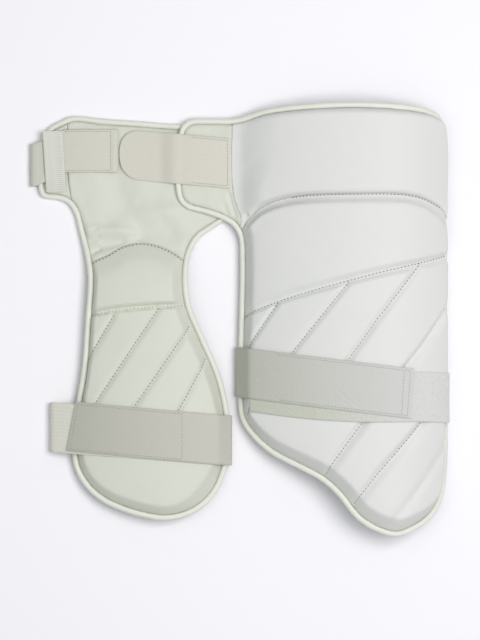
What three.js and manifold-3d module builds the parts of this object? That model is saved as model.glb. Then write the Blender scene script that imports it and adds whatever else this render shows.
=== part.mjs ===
// A cricket thigh guard set lying on its back: an outer guard with a hip pad and a waist wing, an inner
// guard that hangs from a soft panel, and the elastic straps and hook-and-loop tabs that hold them together.
// Millimetres. X runs across the front to the right, Y up it, and Z out of the surface that it lies on.
import * as THREE from "three";
import { mergeVertices } from "three/addons/utils/BufferGeometryUtils.js";
import Module from "manifold-3d";

const wasm = await Module();
wasm.setup();

// Driving sizes that the pieces share
const FIT = 0.3; // clearance between pieces that touch
const SEAM_GAP = 0.6; // between two pads that are sewn to each other
const PIPING_DIAMETER = 5.6;
const PIPING_SIDES = 8;
const OUTLINE_STEP = 13.5;
const BEND_TOLERANCE = 0.45;
const EDGE_LIFT = 3.8; // a pad's edge stands this far above what it rests on, so that its tilted piping clears it

const OUTER_WIDTH = 201;
const OUTER_LENGTH = 428;
const OUTER_RISE = 34; // how far its back arches over the thigh
const OUTER_CROWN = 0.675; // where that arch is highest, as a share of the width
const OUTER_FOAM = 18;
const OUTER_BEVEL = 14;
const OUTER_TOP_BEVEL = 10; // its bevel under the hip pad is narrower
const OUTER_EDGE = 4.5; // thickness at the piping

const HIP_FOAM = 16;
const HIP_BEVEL = 4.5;
const HIP_FRONT_SLOPE = 12; // width of the slope where the hip pad rises from the wing
const WING_FOAM = 4.5;
const WING_BEVEL = 1.5;

const INNER_WIDTH = 152;
const INNER_LENGTH = 400;
const INNER_RISE = 13;
const INNER_CROWN = 0.55;
const INNER_FOAM = 13;
const INNER_BEVEL = 11.5;
const INNER_BROW = 23; // width of the slope where it rises from under the hanger
const INNER_EDGE = 4;
const HANGER_FOAM = 5;
const HANGER_EDGE = 2.75;
const HANGER_BEVEL = 3;
const TAB_PANEL_FOAM = 4;
const TAB_PANEL_EDGE = 2.4;
const TAB_PANEL_BEVEL = 1.5;
const GUARD_SPACING = 166; // from the inner guard's left side to the outer guard's
const WAIST_DROP = 12.5; // the inner guard's waist edge lies this far below the outer guard's

const GROOVE_HALF_WIDTH = 5;
const GROOVE_DEPTH = 6.5;

const LEG_STRAP_WIDTH = 50;
const WAIST_STRAP_WIDTH = 43;
const STRAP_THICKNESS = 1.8;
const LOOP_BAND_THICKNESS = 1.4;
const HOOK_PATCH_THICKNESS = 1.3;
const KEEPER_WIDTH = 20;
const KEEPER_THICKNESS = 1.2;
const JOINING_TAB_WIDTH = 50;
const JOINING_TAB_LENGTH = 111;
const JOINING_TAB_THICKNESS = 1.5;
const JOINING_TAB_ROUND = 20; // radius of its free end's corners

const REST = STRAP_THICKNESS + FIT; // the pads lie on the straps that pass behind them
const WING_LEVEL = REST + PIPING_DIAMETER + 2 * FIT; // the wing lies over the inner guard's edge
const WING_BLEND = 5; // how softly the hip pad's arch leaves the wing

// The outer guard's edge, at the middle of its piping: shares of its width and length from the foot's left
const OUTER_EDGE_LINE = [
  { across: -0.25, up: 0.962 },
  { across: -0.285, up: 0.95 },
  { across: -0.3, up: 0.929 },
  { across: -0.315, up: 0.873 },
  { across: -0.313, up: 0.813 },
  { across: -0.298, up: 0.781 },
  { across: -0.265, up: 0.766 },
  { across: -0.175, up: 0.754 },
  { across: -0.09, up: 0.74 },
  { across: -0.03, up: 0.722 },
  { across: 0.007, up: 0.693 },
  { across: 0.015, up: 0.635 },
  { across: 0.009, up: 0.476 },
  { across: 0.004, up: 0.322 },
  { across: 0.015, up: 0.271 },
  { across: 0.061, up: 0.234 },
  { across: 0.157, up: 0.192 },
  { across: 0.305, up: 0.155 },
  { across: 0.407, up: 0.129 },
  { across: 0.486, up: 0.096 },
  { across: 0.585, up: 0.039 },
  { across: 0.68, up: 0.011 },
  { across: 0.765, up: 0 },
  { across: 0.845, up: 0.012 },
  { across: 0.94, up: 0.046 },
  { across: 0.985, up: 0.088 },
  { across: 1, up: 0.161 },
  { across: 1, up: 0.313 },
  { across: 1, up: 0.546 },
  { across: 1, up: 0.78 },
  { across: 1, up: 0.908 },
  { across: 0.98, up: 0.967 },
  { across: 0.925, up: 0.984 },
  { across: 0.76, up: 0.996 },
  { across: 0.55, up: 1 },
  { across: 0.3, up: 0.995 },
  { across: 0.13, up: 0.985 },
  { across: 0.03, up: 0.971 },
  { across: -0.045, up: 0.964 },
  { across: -0.15, up: 0.964 },
];
// The seam between the wing and the hip pad, from the top
const WING_SEAM = [
  { across: -0.04, up: 1.05 },
  { across: -0.04, up: 0.8 },
  { across: -0.02, up: 0.765 },
  { across: 0.005, up: 0.735 },
  { across: -0.02, up: 0.7 },
];
// The seam between the hip pad and the thigh pad, from the left
const HIP_SEAM = [
  { across: -0.03, up: 0.69 },
  { across: 0.005, up: 0.705 },
  { across: 0.03, up: 0.724 },
  { across: 0.06, up: 0.74 },
  { across: 0.1, up: 0.758 },
  { across: 0.16, up: 0.773 },
  { across: 0.23, up: 0.783 },
  { across: 0.325, up: 0.79 },
  { across: 0.6, up: 0.794 },
  { across: 0.775, up: 0.793 },
  { across: 0.85, up: 0.787 },
  { across: 0.905, up: 0.776 },
  { across: 0.95, up: 0.761 },
  { across: 0.98, up: 0.742 },
  { across: 1.03, up: 0.71 },
];
// The sewn channel under the outer guard's top panel, from the left
const OUTER_PANEL_SEAM = [
  { across: -0.05, up: 0.49 },
  { across: 0.222, up: 0.544 },
  { across: 0.597, up: 0.598 },
  { across: 1.1, up: 0.667 },
];
// The sewn channels below it, as shares of the guard's width and length
const OUTER_CHANNELS = [
  { name: "first diagonal", fromAcross: 0.208, fromUp: 0.5375, toAcross: 0.02, toUp: 0.4 },
  { name: "second diagonal", fromAcross: 0.54, fromUp: 0.5865, toAcross: 0.045, toUp: 0.274 },
  { name: "third diagonal", fromAcross: 0.852, fromUp: 0.6295, toAcross: 0.43, toUp: 0.331 },
  { name: "fourth diagonal", fromAcross: 0.985, fromUp: 0.55, toAcross: 0.39, toUp: 0.115 },
  { name: "fifth diagonal", fromAcross: 0.985, fromUp: 0.365, toAcross: 0.545, toUp: 0.06 },
  { name: "sixth diagonal", fromAcross: 0.985, fromUp: 0.235, toAcross: 0.7, toUp: 0.0 },
];
// The inner guard's edge, at the middle of its piping
const INNER_EDGE_LINE = [
  { across: -0.079, up: 0.991 },
  { across: -0.158, up: 0.975 },
  { across: -0.211, up: 0.948 },
  { across: -0.23, up: 0.895 },
  { across: -0.23, up: 0.83 },
  { across: -0.211, up: 0.809 },
  { across: -0.112, up: 0.803 },
  { across: -0.046, up: 0.793 },
  { across: 0.003, up: 0.768 },
  { across: 0.039, up: 0.718 },
  { across: 0.079, up: 0.66 },
  { across: 0.104, up: 0.6 },
  { across: 0.089, up: 0.495 },
  { across: 0.063, up: 0.368 },
  { across: 0.02, up: 0.27 },
  { across: 0, up: 0.195 },
  { across: 0.013, up: 0.13 },
  { across: 0.086, up: 0.079 },
  { across: 0.191, up: 0.045 },
  { across: 0.316, up: 0.023 },
  { across: 0.447, up: 0.008 },
  { across: 0.586, up: 0 },
  { across: 0.711, up: 0.008 },
  { across: 0.822, up: 0.03 },
  { across: 0.914, up: 0.068 },
  { across: 0.974, up: 0.125 },
  { across: 0.995, up: 0.2 },
  { across: 0.98, up: 0.283 },
  { across: 0.924, up: 0.365 },
  { across: 0.819, up: 0.458 },
  { across: 0.743, up: 0.53 },
  { across: 0.722, up: 0.595 },
  { across: 0.74, up: 0.658 },
  { across: 0.803, up: 0.703 },
  { across: 0.901, up: 0.731 },
  { across: 0.98, up: 0.755 },
  { across: 1.007, up: 0.808 },
  { across: 1.007, up: 0.92 },
  { across: 0.961, up: 0.973 },
  { across: 0.829, up: 0.976 },
  { across: 0.645, up: 0.98 },
  { across: 0.368, up: 0.988 },
  { across: 0.171, up: 0.993 },
  { across: 0.013, up: 1 },
  { across: -0.04, up: 0.998 },
];
// The arched seam between the soft hanger and the inner thigh pad, from the left
const ARC_SEAM = [
  { across: 0.02, up: 0.627 },
  { across: 0.092, up: 0.636 },
  { across: 0.138, up: 0.643 },
  { across: 0.217, up: 0.656 },
  { across: 0.289, up: 0.673 },
  { across: 0.368, up: 0.683 },
  { across: 0.441, up: 0.686 },
  { across: 0.52, up: 0.681 },
  { across: 0.599, up: 0.67 },
  { across: 0.664, up: 0.656 },
  { across: 0.724, up: 0.639 },
  { across: 0.8, up: 0.622 },
];
// The hanger's left edge, where it lies beside the strap's tab panel, from the top
const TAB_SEAM = [
  { across: -0.053, up: 1.03 },
  { across: -0.05, up: 0.86 },
  { across: -0.03, up: 0.8 },
  { across: -0.02, up: 0.75 },
];
const INNER_PANEL_SEAM = [
  { across: 0.02, up: 0.499 },
  { across: 0.307, up: 0.52 },
  { across: 0.9, up: 0.535 },
];
const INNER_CHANNELS = [
  { name: "first diagonal", fromAcross: 0.265, fromUp: 0.505, toAcross: 0.1, toUp: 0.395 },
  { name: "second diagonal", fromAcross: 0.548, fromUp: 0.5225, toAcross: 0.03, toUp: 0.215 },
  { name: "third diagonal", fromAcross: 0.743, fromUp: 0.478, toAcross: 0.2, toUp: 0.165 },
  { name: "fourth diagonal", fromAcross: 0.847, fromUp: 0.397, toAcross: 0.53, toUp: 0.165 },
];
// Folds of the soft hanger: each is a ridge along a line, with its height and half width in millimetres
const HANGER_FOLDS = [
  { fromAcross: 0.1, fromUp: 0.72, toAcross: 0.3, toUp: 0.66, height: 1.6, halfWidth: 7 },
  { fromAcross: 0.3, fromUp: 0.8, toAcross: 0.62, toUp: 0.72, height: 1.1, halfWidth: 14 },
  { fromAcross: 0.05, fromUp: 0.69, toAcross: 0.2, toUp: 0.66, height: 1.4, halfWidth: 4 },
];

// Straps: where each one's middle runs, as shares of its own guard
const OUTER_LEG_STRAP = { leftUp: 0.376, rightUp: 0.319, endAcross: 0.845 };
const OUTER_LOOP_BAND = { leftUp: 0.346, rightUp: 0.318, startAcross: 0.05 };
const OUTER_STRAP_JOIN = 0.92; // where strap and band meet behind the pad
const INNER_LEG_STRAP = { leftUp: 0.228, rightUp: 0.194, endAcross: 0.02 };
const INNER_LOOP_BAND = { leftUp: 0.222, rightUp: 0.197, startAcross: 0.93 };
const INNER_STRAP_JOIN = 0.06;
const INNER_LOOP_SLACK = 24; // how far the slack loop stands out past the inner guard's left edge
const STRAP_END_SLANT = 10; // how far the inner strap's end is cut askew
const WAIST_STRAP_FOLD = 7; // how far the waist strap's fold stands out past the tab panel
const WAIST_STRAP_END = 0.29;
const WAIST_STRAP_ROUTE = { foldUp: 0.883, tabUp: 0.919 };
const KEEPER_SPAN = { across: -0.14, lowUp: 0.817, highUp: 0.968 };
const JOINING_TAB_PLACE = { leftAcross: 0.29, leftUp: 0.912, rightUp: 0.887 };
const TAB_DROP = 16; // how far past the wing's piping the joining tab comes down onto the hanger

const COLOURS = { cover: 0xe8e9e5, ivory: 0xdfe1d4, piping: 0xdcdfd2, elastic: 0xcfd0c2, loop: 0xdededc, tape: 0xdad5c8 };

const lerp = THREE.MathUtils.lerp;
const smoothstep = THREE.MathUtils.smoothstep;
const smoothMax = (a, b, blend) => (a + b + Math.hypot(a - b, blend)) / 2;

/** One guard's back: two arcs that meet at its crown, with flat patterns laid on it and bent to it. */
class Shell {
  constructor({ left, foot, width, length, rise, crown, height }) {
    Object.assign(this, { left, foot, width, length, rise, height });
    this.crownX = left + crown * width;
    this.leftSpan = crown * width;
    this.rightSpan = width - this.leftSpan;
    this.leftRadius = (this.leftSpan ** 2 + rise ** 2) / (2 * rise);
    this.rightRadius = (this.rightSpan ** 2 + rise ** 2) / (2 * rise);
  }

  /** A table row's place in plan. */
  plan({ across, up }) {
    return new THREE.Vector2(this.left + across * this.width, this.foot + up * this.length);
  }

  side(offset) {
    return offset < 0 ? [this.leftRadius, this.leftSpan, -1] : [this.rightRadius, this.rightSpan, 1];
  }

  /** How high the arch stands over its edges at a place across. */
  archAt(x) {
    const [radius, span] = this.side(x - this.crownX);
    const offset = Math.abs(x - this.crownX);
    const inside = Math.min(offset, span);
    const edgeSlope = span / Math.sqrt(radius ** 2 - span ** 2);
    return this.rise - (radius - Math.sqrt(radius ** 2 - inside ** 2)) - (offset - inside) * edgeSlope;
  }

  /** Distance along the back from the crown, for a distance in plan. */
  unroll(x) {
    const [radius, span, sign] = this.side(x - this.crownX);
    const offset = Math.abs(x - this.crownX);
    const inside = Math.min(offset, span);
    return sign * (radius * Math.asin(inside / radius) + offset - inside);
  }

  /** The place in plan of a distance along the back. */
  roll(along) {
    const [radius, span, sign] = this.side(along);
    const whole = radius * Math.asin(span / radius);
    const inside = Math.min(Math.abs(along), whole);
    return this.crownX + sign * (radius * Math.sin(inside / radius) + Math.abs(along) - inside);
  }

  baseAt(x, y) {
    return this.height(this.archAt(x), y);
  }

  /** A row of a table as a point of the flat pattern. */
  pattern(row) {
    const spot = this.plan(row);
    return new THREE.Vector2(this.unroll(spot.x), spot.y);
  }

  /** Where a point of the flat pattern lies once bent, at a height above the back. */
  place(along, y, height) {
    const x = this.roll(along);
    const step = 0.5;
    const slopeX = (this.baseAt(x + step, y) - this.baseAt(x - step, y)) / (2 * step);
    const slopeY = (this.baseAt(x, y + step) - this.baseAt(x, y - step)) / (2 * step);
    const normal = new THREE.Vector3(-slopeX, -slopeY, 1).normalize();
    return new THREE.Vector3(x, y, this.baseAt(x, y)).addScaledVector(normal, height);
  }
}

const OUTER_FOOT = -OUTER_LENGTH / 2;
const HIP_FOOT_UP = 0.72; // the wing's level ends here, above the thigh pad
const THIGH_UP = 0.62;
const outer = new Shell({
  left: 0,
  foot: OUTER_FOOT,
  width: OUTER_WIDTH,
  length: OUTER_LENGTH,
  rise: OUTER_RISE,
  crown: OUTER_CROWN,
  height: (arch, y) => {
    const up = (y - OUTER_FOOT) / OUTER_LENGTH;
    const level = lerp(-WING_LEVEL, WING_LEVEL, smoothstep(up, THIGH_UP, HIP_FOOT_UP));
    return smoothMax(level, REST + EDGE_LIFT + arch, WING_BLEND * smoothstep(up, THIGH_UP, HIP_FOOT_UP));
  },
});
const INNER_FOOT = OUTER_FOOT + OUTER_LENGTH - WAIST_DROP - INNER_LENGTH;
const ARCH_END_UP = 0.55; // the inner guard's arch is whole below this
const FLAT_FROM_UP = 0.74; // and has died out above this
const inner = new Shell({
  left: -GUARD_SPACING,
  foot: INNER_FOOT,
  width: INNER_WIDTH,
  length: INNER_LENGTH,
  rise: INNER_RISE,
  crown: INNER_CROWN,
  height: (arch, y) => {
    const up = (y - INNER_FOOT) / INNER_LENGTH;
    return REST + (EDGE_LIFT + arch) * (1 - smoothstep(up, ARCH_END_UP, FLAT_FROM_UP));
  },
});

/** A smooth closed curve through a table's rows, in a shell's flat pattern, at even steps. */
function closedCurve(shell, rows) {
  const knots = rows.map((row) => shell.pattern(row)).map((p) => new THREE.Vector3(p.x, p.y, 0));
  const curve = new THREE.CatmullRomCurve3(knots, true, "centripetal");
  const steps = Math.round(curve.getLength() / OUTLINE_STEP);
  return curve.getSpacedPoints(steps).slice(0, -1).map((p) => new THREE.Vector2(p.x, p.y));
}

function openCurve(shell, rows) {
  const knots = rows.map((row) => shell.pattern(row)).map((p) => new THREE.Vector3(p.x, p.y, 0));
  const curve = new THREE.CatmullRomCurve3(knots, false, "centripetal");
  return curve.getSpacedPoints(Math.round(curve.getLength() / OUTLINE_STEP)).map((p) => new THREE.Vector2(p.x, p.y));
}

const before = (points, i) => points[(i + points.length - 1) % points.length];
const after = (points, i) => points[(i + 1) % points.length];

/** The direction into a counterclockwise outline at one of its points. */
function inward(points, i) {
  const ahead = after(points, i).clone().sub(points[i]).normalize();
  const behind = points[i].clone().sub(before(points, i)).normalize();
  const along = ahead.add(behind).normalize();
  return new THREE.Vector2(-along.y, along.x);
}

function inset(points, widths) {
  const widthAt = (i) => (Array.isArray(widths) ? widths[i] : widths);
  return points.map((p, i) => p.clone().addScaledVector(inward(points, i), widthAt(i)));
}

/** Bevel widths round an outline: the width asked for, narrowed at tight bends and towards sharp corners. */
function bevelWidths(points, widthAt) {
  const CORNER_TURN = 0.6;
  const CORNER_WIDTH = 0.8;
  const NARROWING = 0.28;
  const ROUND_SHARE = 0.7; // a bevel stays narrower than the bend that it follows
  const widths = points.map((p, i) => {
    const a = p.clone().sub(before(points, i));
    const b = after(points, i).clone().sub(p);
    const turn = Math.abs(Math.atan2(a.cross(b), a.dot(b)));
    const radius = (a.length() + b.length()) / 2 / Math.max(turn, 1e-6);
    return turn > CORNER_TURN ? CORNER_WIDTH : Math.min(widthAt(p), ROUND_SHARE * radius);
  });
  for (let pass = 0; pass < 2 * points.length; pass++) {
    const i = pass % points.length;
    const last = (i + points.length - 1) % points.length;
    widths[i] = Math.min(widths[i], widths[last] + NARROWING * points[i].distanceTo(points[last]));
  }
  for (let pass = 2 * points.length; pass > 0; pass--) {
    const i = pass % points.length;
    const next = (i + 1) % points.length;
    widths[i] = Math.min(widths[i], widths[next] + NARROWING * points[i].distanceTo(points[next]));
  }
  return widths;
}

function crossing(a, b, c, d) {
  const along = b.clone().sub(a);
  const across = d.clone().sub(c);
  const turn = along.cross(across);
  if (Math.abs(turn) < 1e-9) return null;
  const s = c.clone().sub(a).cross(across) / turn;
  const t = c.clone().sub(a).cross(along) / turn;
  return s >= 0 && s < 1 && t >= 0 && t < 1 ? { point: a.clone().addScaledVector(along, s), t } : null;
}

/** Cuts a counterclockwise outline along a line that crosses it: the part on the line's left, and that on its right. */
function cutOutline(outline, line) {
  const hits = [];
  outline.forEach((a, edge) => {
    for (let step = 0; step + 1 < line.length; step++) {
      const hit = crossing(a, after(outline, edge), line[step], line[step + 1]);
      if (hit) hits.push({ edge, step, point: hit.point, along: step + hit.t });
    }
  });
  hits.sort((a, b) => a.along - b.along);
  const first = hits[0];
  const last = hits[hits.length - 1];
  const seam = [first.point, ...line.slice(first.step + 1, last.step + 1), last.point];
  const walk = (from, to) => {
    const run = [];
    for (let i = (from + 1) % outline.length; i !== (to + 1) % outline.length; i = (i + 1) % outline.length) {
      run.push(outline[i]);
    }
    return run;
  };
  return [tidy([...walk(last.edge, first.edge), ...seam]), tidy([...walk(first.edge, last.edge), ...seam.reverse()])];
}

/** An outline without points that lie almost on their neighbour. */
function tidy(points) {
  const CLOSE = 1.5;
  return points.filter((p, i) => p.distanceTo(before(points, i)) > CLOSE);
}

function meshGeometry(points, triangles) {
  const geometry = new THREE.BufferGeometry();
  geometry.setAttribute("position", new THREE.Float32BufferAttribute(points.flatMap((p) => [p.x, p.y, p.z]), 3));
  geometry.setIndex(triangles.flat());
  return geometry;
}

/** A closed solid through rings with equally many points, the first at the bottom. */
function loft(rings) {
  const size = rings[0].length;
  const triangles = [];
  for (let r = 0; r + 1 < rings.length; r++) {
    for (let i = 0; i < size; i++) {
      const j = (i + 1) % size;
      const [a, b, c, d] = [r * size + i, r * size + j, (r + 1) * size + j, (r + 1) * size + i];
      triangles.push([a, b, c], [a, c, d]);
    }
  }
  const cap = (ring) => THREE.ShapeUtils.triangulateShape(ring.map((p) => new THREE.Vector2(p.x, p.y)), []);
  const top = (rings.length - 1) * size;
  cap(rings[0]).forEach(([a, b, c]) => triangles.push([c, b, a]));
  cap(rings[rings.length - 1]).forEach(([a, b, c]) => triangles.push([top + a, top + b, top + c]));
  return meshGeometry(rings.flat(), triangles);
}

/** A flat pad: its outline, a wall at the piping and a bevel up to its face. */
function flatPad(outline, { edge, foam, widthAt }) {
  const widths = bevelWidths(outline, widthAt);
  const ring = (points, z) => points.map((p) => new THREE.Vector3(p.x, p.y, z));
  return loft([ring(outline, 0), ring(outline, edge), ring(inset(outline, widths), foam)]);
}

function solidOf(geometry) {
  const bare = geometry.clone();
  bare.deleteAttribute("normal");
  bare.deleteAttribute("uv");
  const merged = mergeVertices(bare, 1e-4);
  return new wasm.Manifold(
    new wasm.Mesh({
      numProp: 3,
      vertProperties: new Float32Array(merged.attributes.position.array),
      triVerts: new Uint32Array(merged.index.array),
    }),
  );
}

function geometryOf(solid) {
  const { numProp, vertProperties, triVerts } = solid.getMesh();
  const points = [];
  for (let i = 0; i < vertProperties.length; i += numProp) {
    points.push(new THREE.Vector3(vertProperties[i], vertProperties[i + 1], vertProperties[i + 2]));
  }
  const triangles = [];
  for (let i = 0; i < triVerts.length; i += 3) triangles.push([triVerts[i], triVerts[i + 1], triVerts[i + 2]]);
  return meshGeometry(points, triangles);
}

/** A wedge that stands on its edge along a line, to press a channel into a pad's face. */
function wedge(line, foam) {
  const ABOVE = 3;
  const bottom = foam - GROOVE_DEPTH;
  const halfWidth = (GROOVE_HALF_WIDTH / GROOVE_DEPTH) * (GROOVE_DEPTH + ABOVE);
  const points = line.flatMap((p, i) => {
    const along = line[Math.min(i + 1, line.length - 1)].clone().sub(line[Math.max(i - 1, 0)]).normalize();
    const side = new THREE.Vector2(-along.y, along.x);
    const [left, right] = [halfWidth, -halfWidth].map((reach) => p.clone().addScaledVector(side, reach));
    return [
      new THREE.Vector3(p.x, p.y, bottom),
      new THREE.Vector3(right.x, right.y, foam + ABOVE),
      new THREE.Vector3(left.x, left.y, foam + ABOVE),
    ];
  });
  const end = 3 * (line.length - 1);
  const triangles = [[0, 1, 2], [end, end + 2, end + 1]];
  for (let i = 0; i < end; i += 3) {
    for (let k = 0; k < 3; k++) {
      const [a, b] = [i + k, i + ((k + 1) % 3)];
      triangles.push([a, a + 3, b + 3], [a, b + 3, b]);
    }
  }
  return meshGeometry(points, triangles);
}

/** Cuts the sewn channels, as V grooves, into a flat pad's face. */
function withChannels(pad, shell, seam, diagonals, foam) {
  const rows = diagonals.map(({ fromAcross, fromUp, toAcross, toUp }) => [
    { across: fromAcross, up: fromUp },
    { across: toAcross, up: toUp },
  ]);
  const lines = [seam, ...rows].map((line) => line.map((row) => shell.pattern(row)));
  return geometryOf(lines.reduce((solid, line) => solid.subtract(solidOf(wedge(line, foam))), solidOf(pad)));
}

/** A triangle, cut at those of its edges that have a middle point. */
function splitTriangle([a, b, c], [ab, bc, ca]) {
  const cuts = [ab, bc, ca].filter((m) => m !== null).length;
  if (cuts === 0) return [[a, b, c]];
  if (cuts === 3) return [[a, ab, ca], [ab, b, bc], [ca, bc, c], [ab, bc, ca]];
  if (cuts === 1 && ab !== null) return [[a, ab, c], [ab, b, c]];
  if (cuts === 2 && ca === null) return [[ab, b, bc], [a, ab, c], [ab, bc, c]];
  return splitTriangle([b, c, a], [bc, ca, ab]);
}

/** Bends a flat solid, splitting each edge whose middle would leave the bent surface. */
function bend(flat, place) {
  const merged = mergeVertices(flat, 1e-4);
  const positions = merged.attributes.position;
  const points = Array.from({ length: positions.count }, (_, i) => new THREE.Vector3().fromBufferAttribute(positions, i));
  const bent = points.map((p) => place(p.x, p.y, p.z));
  let triangles = [];
  for (let i = 0; i < merged.index.count; i += 3) triangles.push([0, 1, 2].map((k) => merged.index.getX(i + k)));
  const MOST_PASSES = 8;
  for (let pass = 0; pass < MOST_PASSES; pass++) {
    const middles = new Map();
    const middle = (a, b) => {
      const key = Math.min(a, b) + "," + Math.max(a, b);
      if (!middles.has(key)) {
        const flatMiddle = points[a].clone().lerp(points[b], 0.5);
        const bentMiddle = place(flatMiddle.x, flatMiddle.y, flatMiddle.z);
        const leaves = bentMiddle.distanceTo(bent[a].clone().lerp(bent[b], 0.5)) > BEND_TOLERANCE;
        middles.set(key, leaves ? points.push(flatMiddle) - 1 : null);
        if (leaves) bent.push(bentMiddle);
      }
      return middles.get(key);
    };
    const split = triangles.flatMap(([a, b, c]) => splitTriangle([a, b, c], [middle(a, b), middle(b, c), middle(c, a)]));
    if (split.length === triangles.length) break;
    triangles = split;
  }
  return meshGeometry(bent, triangles);
}

/** A closed bead of round section along an outline, lying on the shell. */
function pipingOf(shell, outline) {
  const radius = PIPING_DIAMETER / 2;
  const points = [];
  outline.forEach((p, i) => {
    const into = inward(outline, i);
    for (let k = 0; k < PIPING_SIDES; k++) {
      const angle = ((k + 0.5) / PIPING_SIDES) * 2 * Math.PI;
      const spot = p.clone().addScaledVector(into, radius * Math.cos(angle));
      points.push(shell.place(spot.x, spot.y, radius + radius * Math.sin(angle)));
    }
  });
  const triangles = [];
  for (let i = 0; i < outline.length; i++) {
    for (let k = 0; k < PIPING_SIDES; k++) {
      const [next, turn] = [((i + 1) % outline.length) * PIPING_SIDES, (k + 1) % PIPING_SIDES];
      const [a, b, c, d] = [i * PIPING_SIDES + k, next + k, next + turn, i * PIPING_SIDES + turn];
      triangles.push([a, c, b], [a, d, c]);
    }
  }
  return meshGeometry(points, triangles);
}

/** The points of some pieces that lie in a slab of Y, or of X, seen along it. */
function sectionPoints(geometries, axis, low, high) {
  const FAR = 1000;
  const slab = new THREE.BoxGeometry(axis === "x" ? high - low : FAR, axis === "y" ? high - low : FAR, FAR);
  slab.translate(axis === "x" ? (low + high) / 2 : 0, axis === "y" ? (low + high) / 2 : 0, 0);
  const across = axis === "x" ? 1 : 0;
  return geometries.flatMap((geometry) => {
    const { numProp, vertProperties } = solidOf(geometry).intersect(solidOf(slab)).getMesh();
    const found = [];
    for (let i = 0; i < vertProperties.length; i += numProp) {
      found.push(new THREE.Vector2(vertProperties[i + across], vertProperties[i + 2]));
    }
    return found;
  });
}

/** The convex outline round some points, counterclockwise from the leftmost. */
function hull(points) {
  const sorted = [...points].sort((a, b) => a.x - b.x || a.y - b.y);
  const chain = (list) => {
    const kept = [];
    for (const p of list) {
      while (kept.length > 1) {
        const [a, b] = kept.slice(-2);
        if (b.clone().sub(a).cross(p.clone().sub(b)) > 1e-6) break;
        kept.pop();
      }
      kept.push(p);
    }
    return kept.slice(0, -1);
  };
  const round = [...chain(sorted), ...chain(sorted.reverse())];
  return round.filter((p, i) => p.distanceTo(before(round, i)) > 0.4);
}

/** Points round a small roller, which hold a band's fold open. */
function roller(x, z, radius) {
  const SIDES = 10;
  return Array.from({ length: SIDES }, (_, k) => {
    const angle = (k / SIDES) * 2 * Math.PI;
    return new THREE.Vector2(x + radius * Math.cos(angle), z + radius * Math.sin(angle));
  });
}

/** The part of a closed counterclockwise path from one place to another, each given by a place across and a side. */
function stretch(path, from, to) {
  const spotOn = ({ across, front }) => {
    for (let i = 0; i < path.length; i++) {
      const [a, b] = [path[i], after(path, i)];
      const crosses = front ? a.x >= across && b.x < across : a.x < across && b.x >= across;
      if (crosses) return { edge: i, point: a.clone().lerp(b, (across - a.x) / (b.x - a.x)) };
    }
    throw new Error("a strap's end lies off its path");
  };
  const [start, end] = [spotOn(from), spotOn(to)];
  const run = [start.point];
  for (let i = (start.edge + 1) % path.length; i !== (end.edge + 1) % path.length; i = (i + 1) % path.length) {
    run.push(path[i]);
  }
  return tidyRun([...run, end.point]);
}

/** A run without points that lie almost on their neighbour, and with more on its long straights. */
function tidyRun(run) {
  const CLOSE = 0.5;
  const LONG = 24;
  const kept = run.filter((p, i) => i === 0 || p.distanceTo(run[i - 1]) > CLOSE);
  return kept.flatMap((p, i) => {
    if (i === 0) return [p];
    const parts = Math.ceil(p.distanceTo(kept[i - 1]) / LONG);
    return Array.from({ length: parts }, (_, k) => kept[i - 1].clone().lerp(p, (k + 1) / parts));
  });
}

/** A flat band that follows a path seen edge on. widthAt(share) gives its half width and middleAt(point) its middle. */
function band(run, { gap, thickness, halfWidth, middleAt, toSpace, slant = 0 }) {
  const normals = run.map((p, i) => {
    const ahead = run[Math.min(i + 1, run.length - 1)].clone().sub(run[Math.max(i - 1, 0)]).normalize();
    return new THREE.Vector2(ahead.y, -ahead.x);
  });
  const lengths = run.map((p, i) => (i ? p.distanceTo(run[i - 1]) : 0));
  const total = lengths.reduce((sum, part) => sum + part, 0);
  let along = 0;
  const points = run.flatMap((p, i) => {
    along += lengths[i];
    const half = halfWidth(along, total);
    const lean = i === 0 ? slant : 0;
    const direction = run[Math.min(i + 1, run.length - 1)].clone().sub(run[Math.max(i - 1, 0)]).normalize();
    return [[-1, 0], [1, 0], [1, 1], [-1, 1]].map(([side, skin]) => {
      const spot = p.clone().addScaledVector(normals[i], gap + skin * thickness);
      spot.addScaledVector(direction, (lean * side) / 2);
      return toSpace(spot, middleAt(p, i, along) + side * half);
    });
  });
  const triangles = [];
  for (let i = 0; i + 1 < run.length; i++) {
    for (let k = 0; k < 4; k++) {
      const [a, b, c, d] = [4 * i + k, 4 * i + ((k + 1) % 4), 4 * i + 4 + ((k + 1) % 4), 4 * i + 4 + k];
      triangles.push([a, b, c], [a, c, d]);
    }
  }
  const end = 4 * (run.length - 1);
  triangles.push([0, 2, 1], [0, 3, 2], [end, end + 1, end + 2], [end, end + 2, end + 3]);
  const geometry = meshGeometry(points, triangles);
  return solidOf(geometry).volume() > 0 ? geometry : turnedOut(geometry);
}

function turnedOut(geometry) {
  const index = Array.from(geometry.index.array);
  for (let i = 0; i < index.length; i += 3) [index[i + 1], index[i + 2]] = [index[i + 2], index[i + 1]];
  return geometry.clone().setIndex(index);
}

const acrossX = (spot, y) => new THREE.Vector3(spot.x, y, spot.y);
const acrossY = (spot, x) => new THREE.Vector3(x, spot.x, spot.y);
const onto = (shell, extra = () => 0) => (along, y, h) => shell.place(along, y, h + extra(along, y, h));

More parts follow.
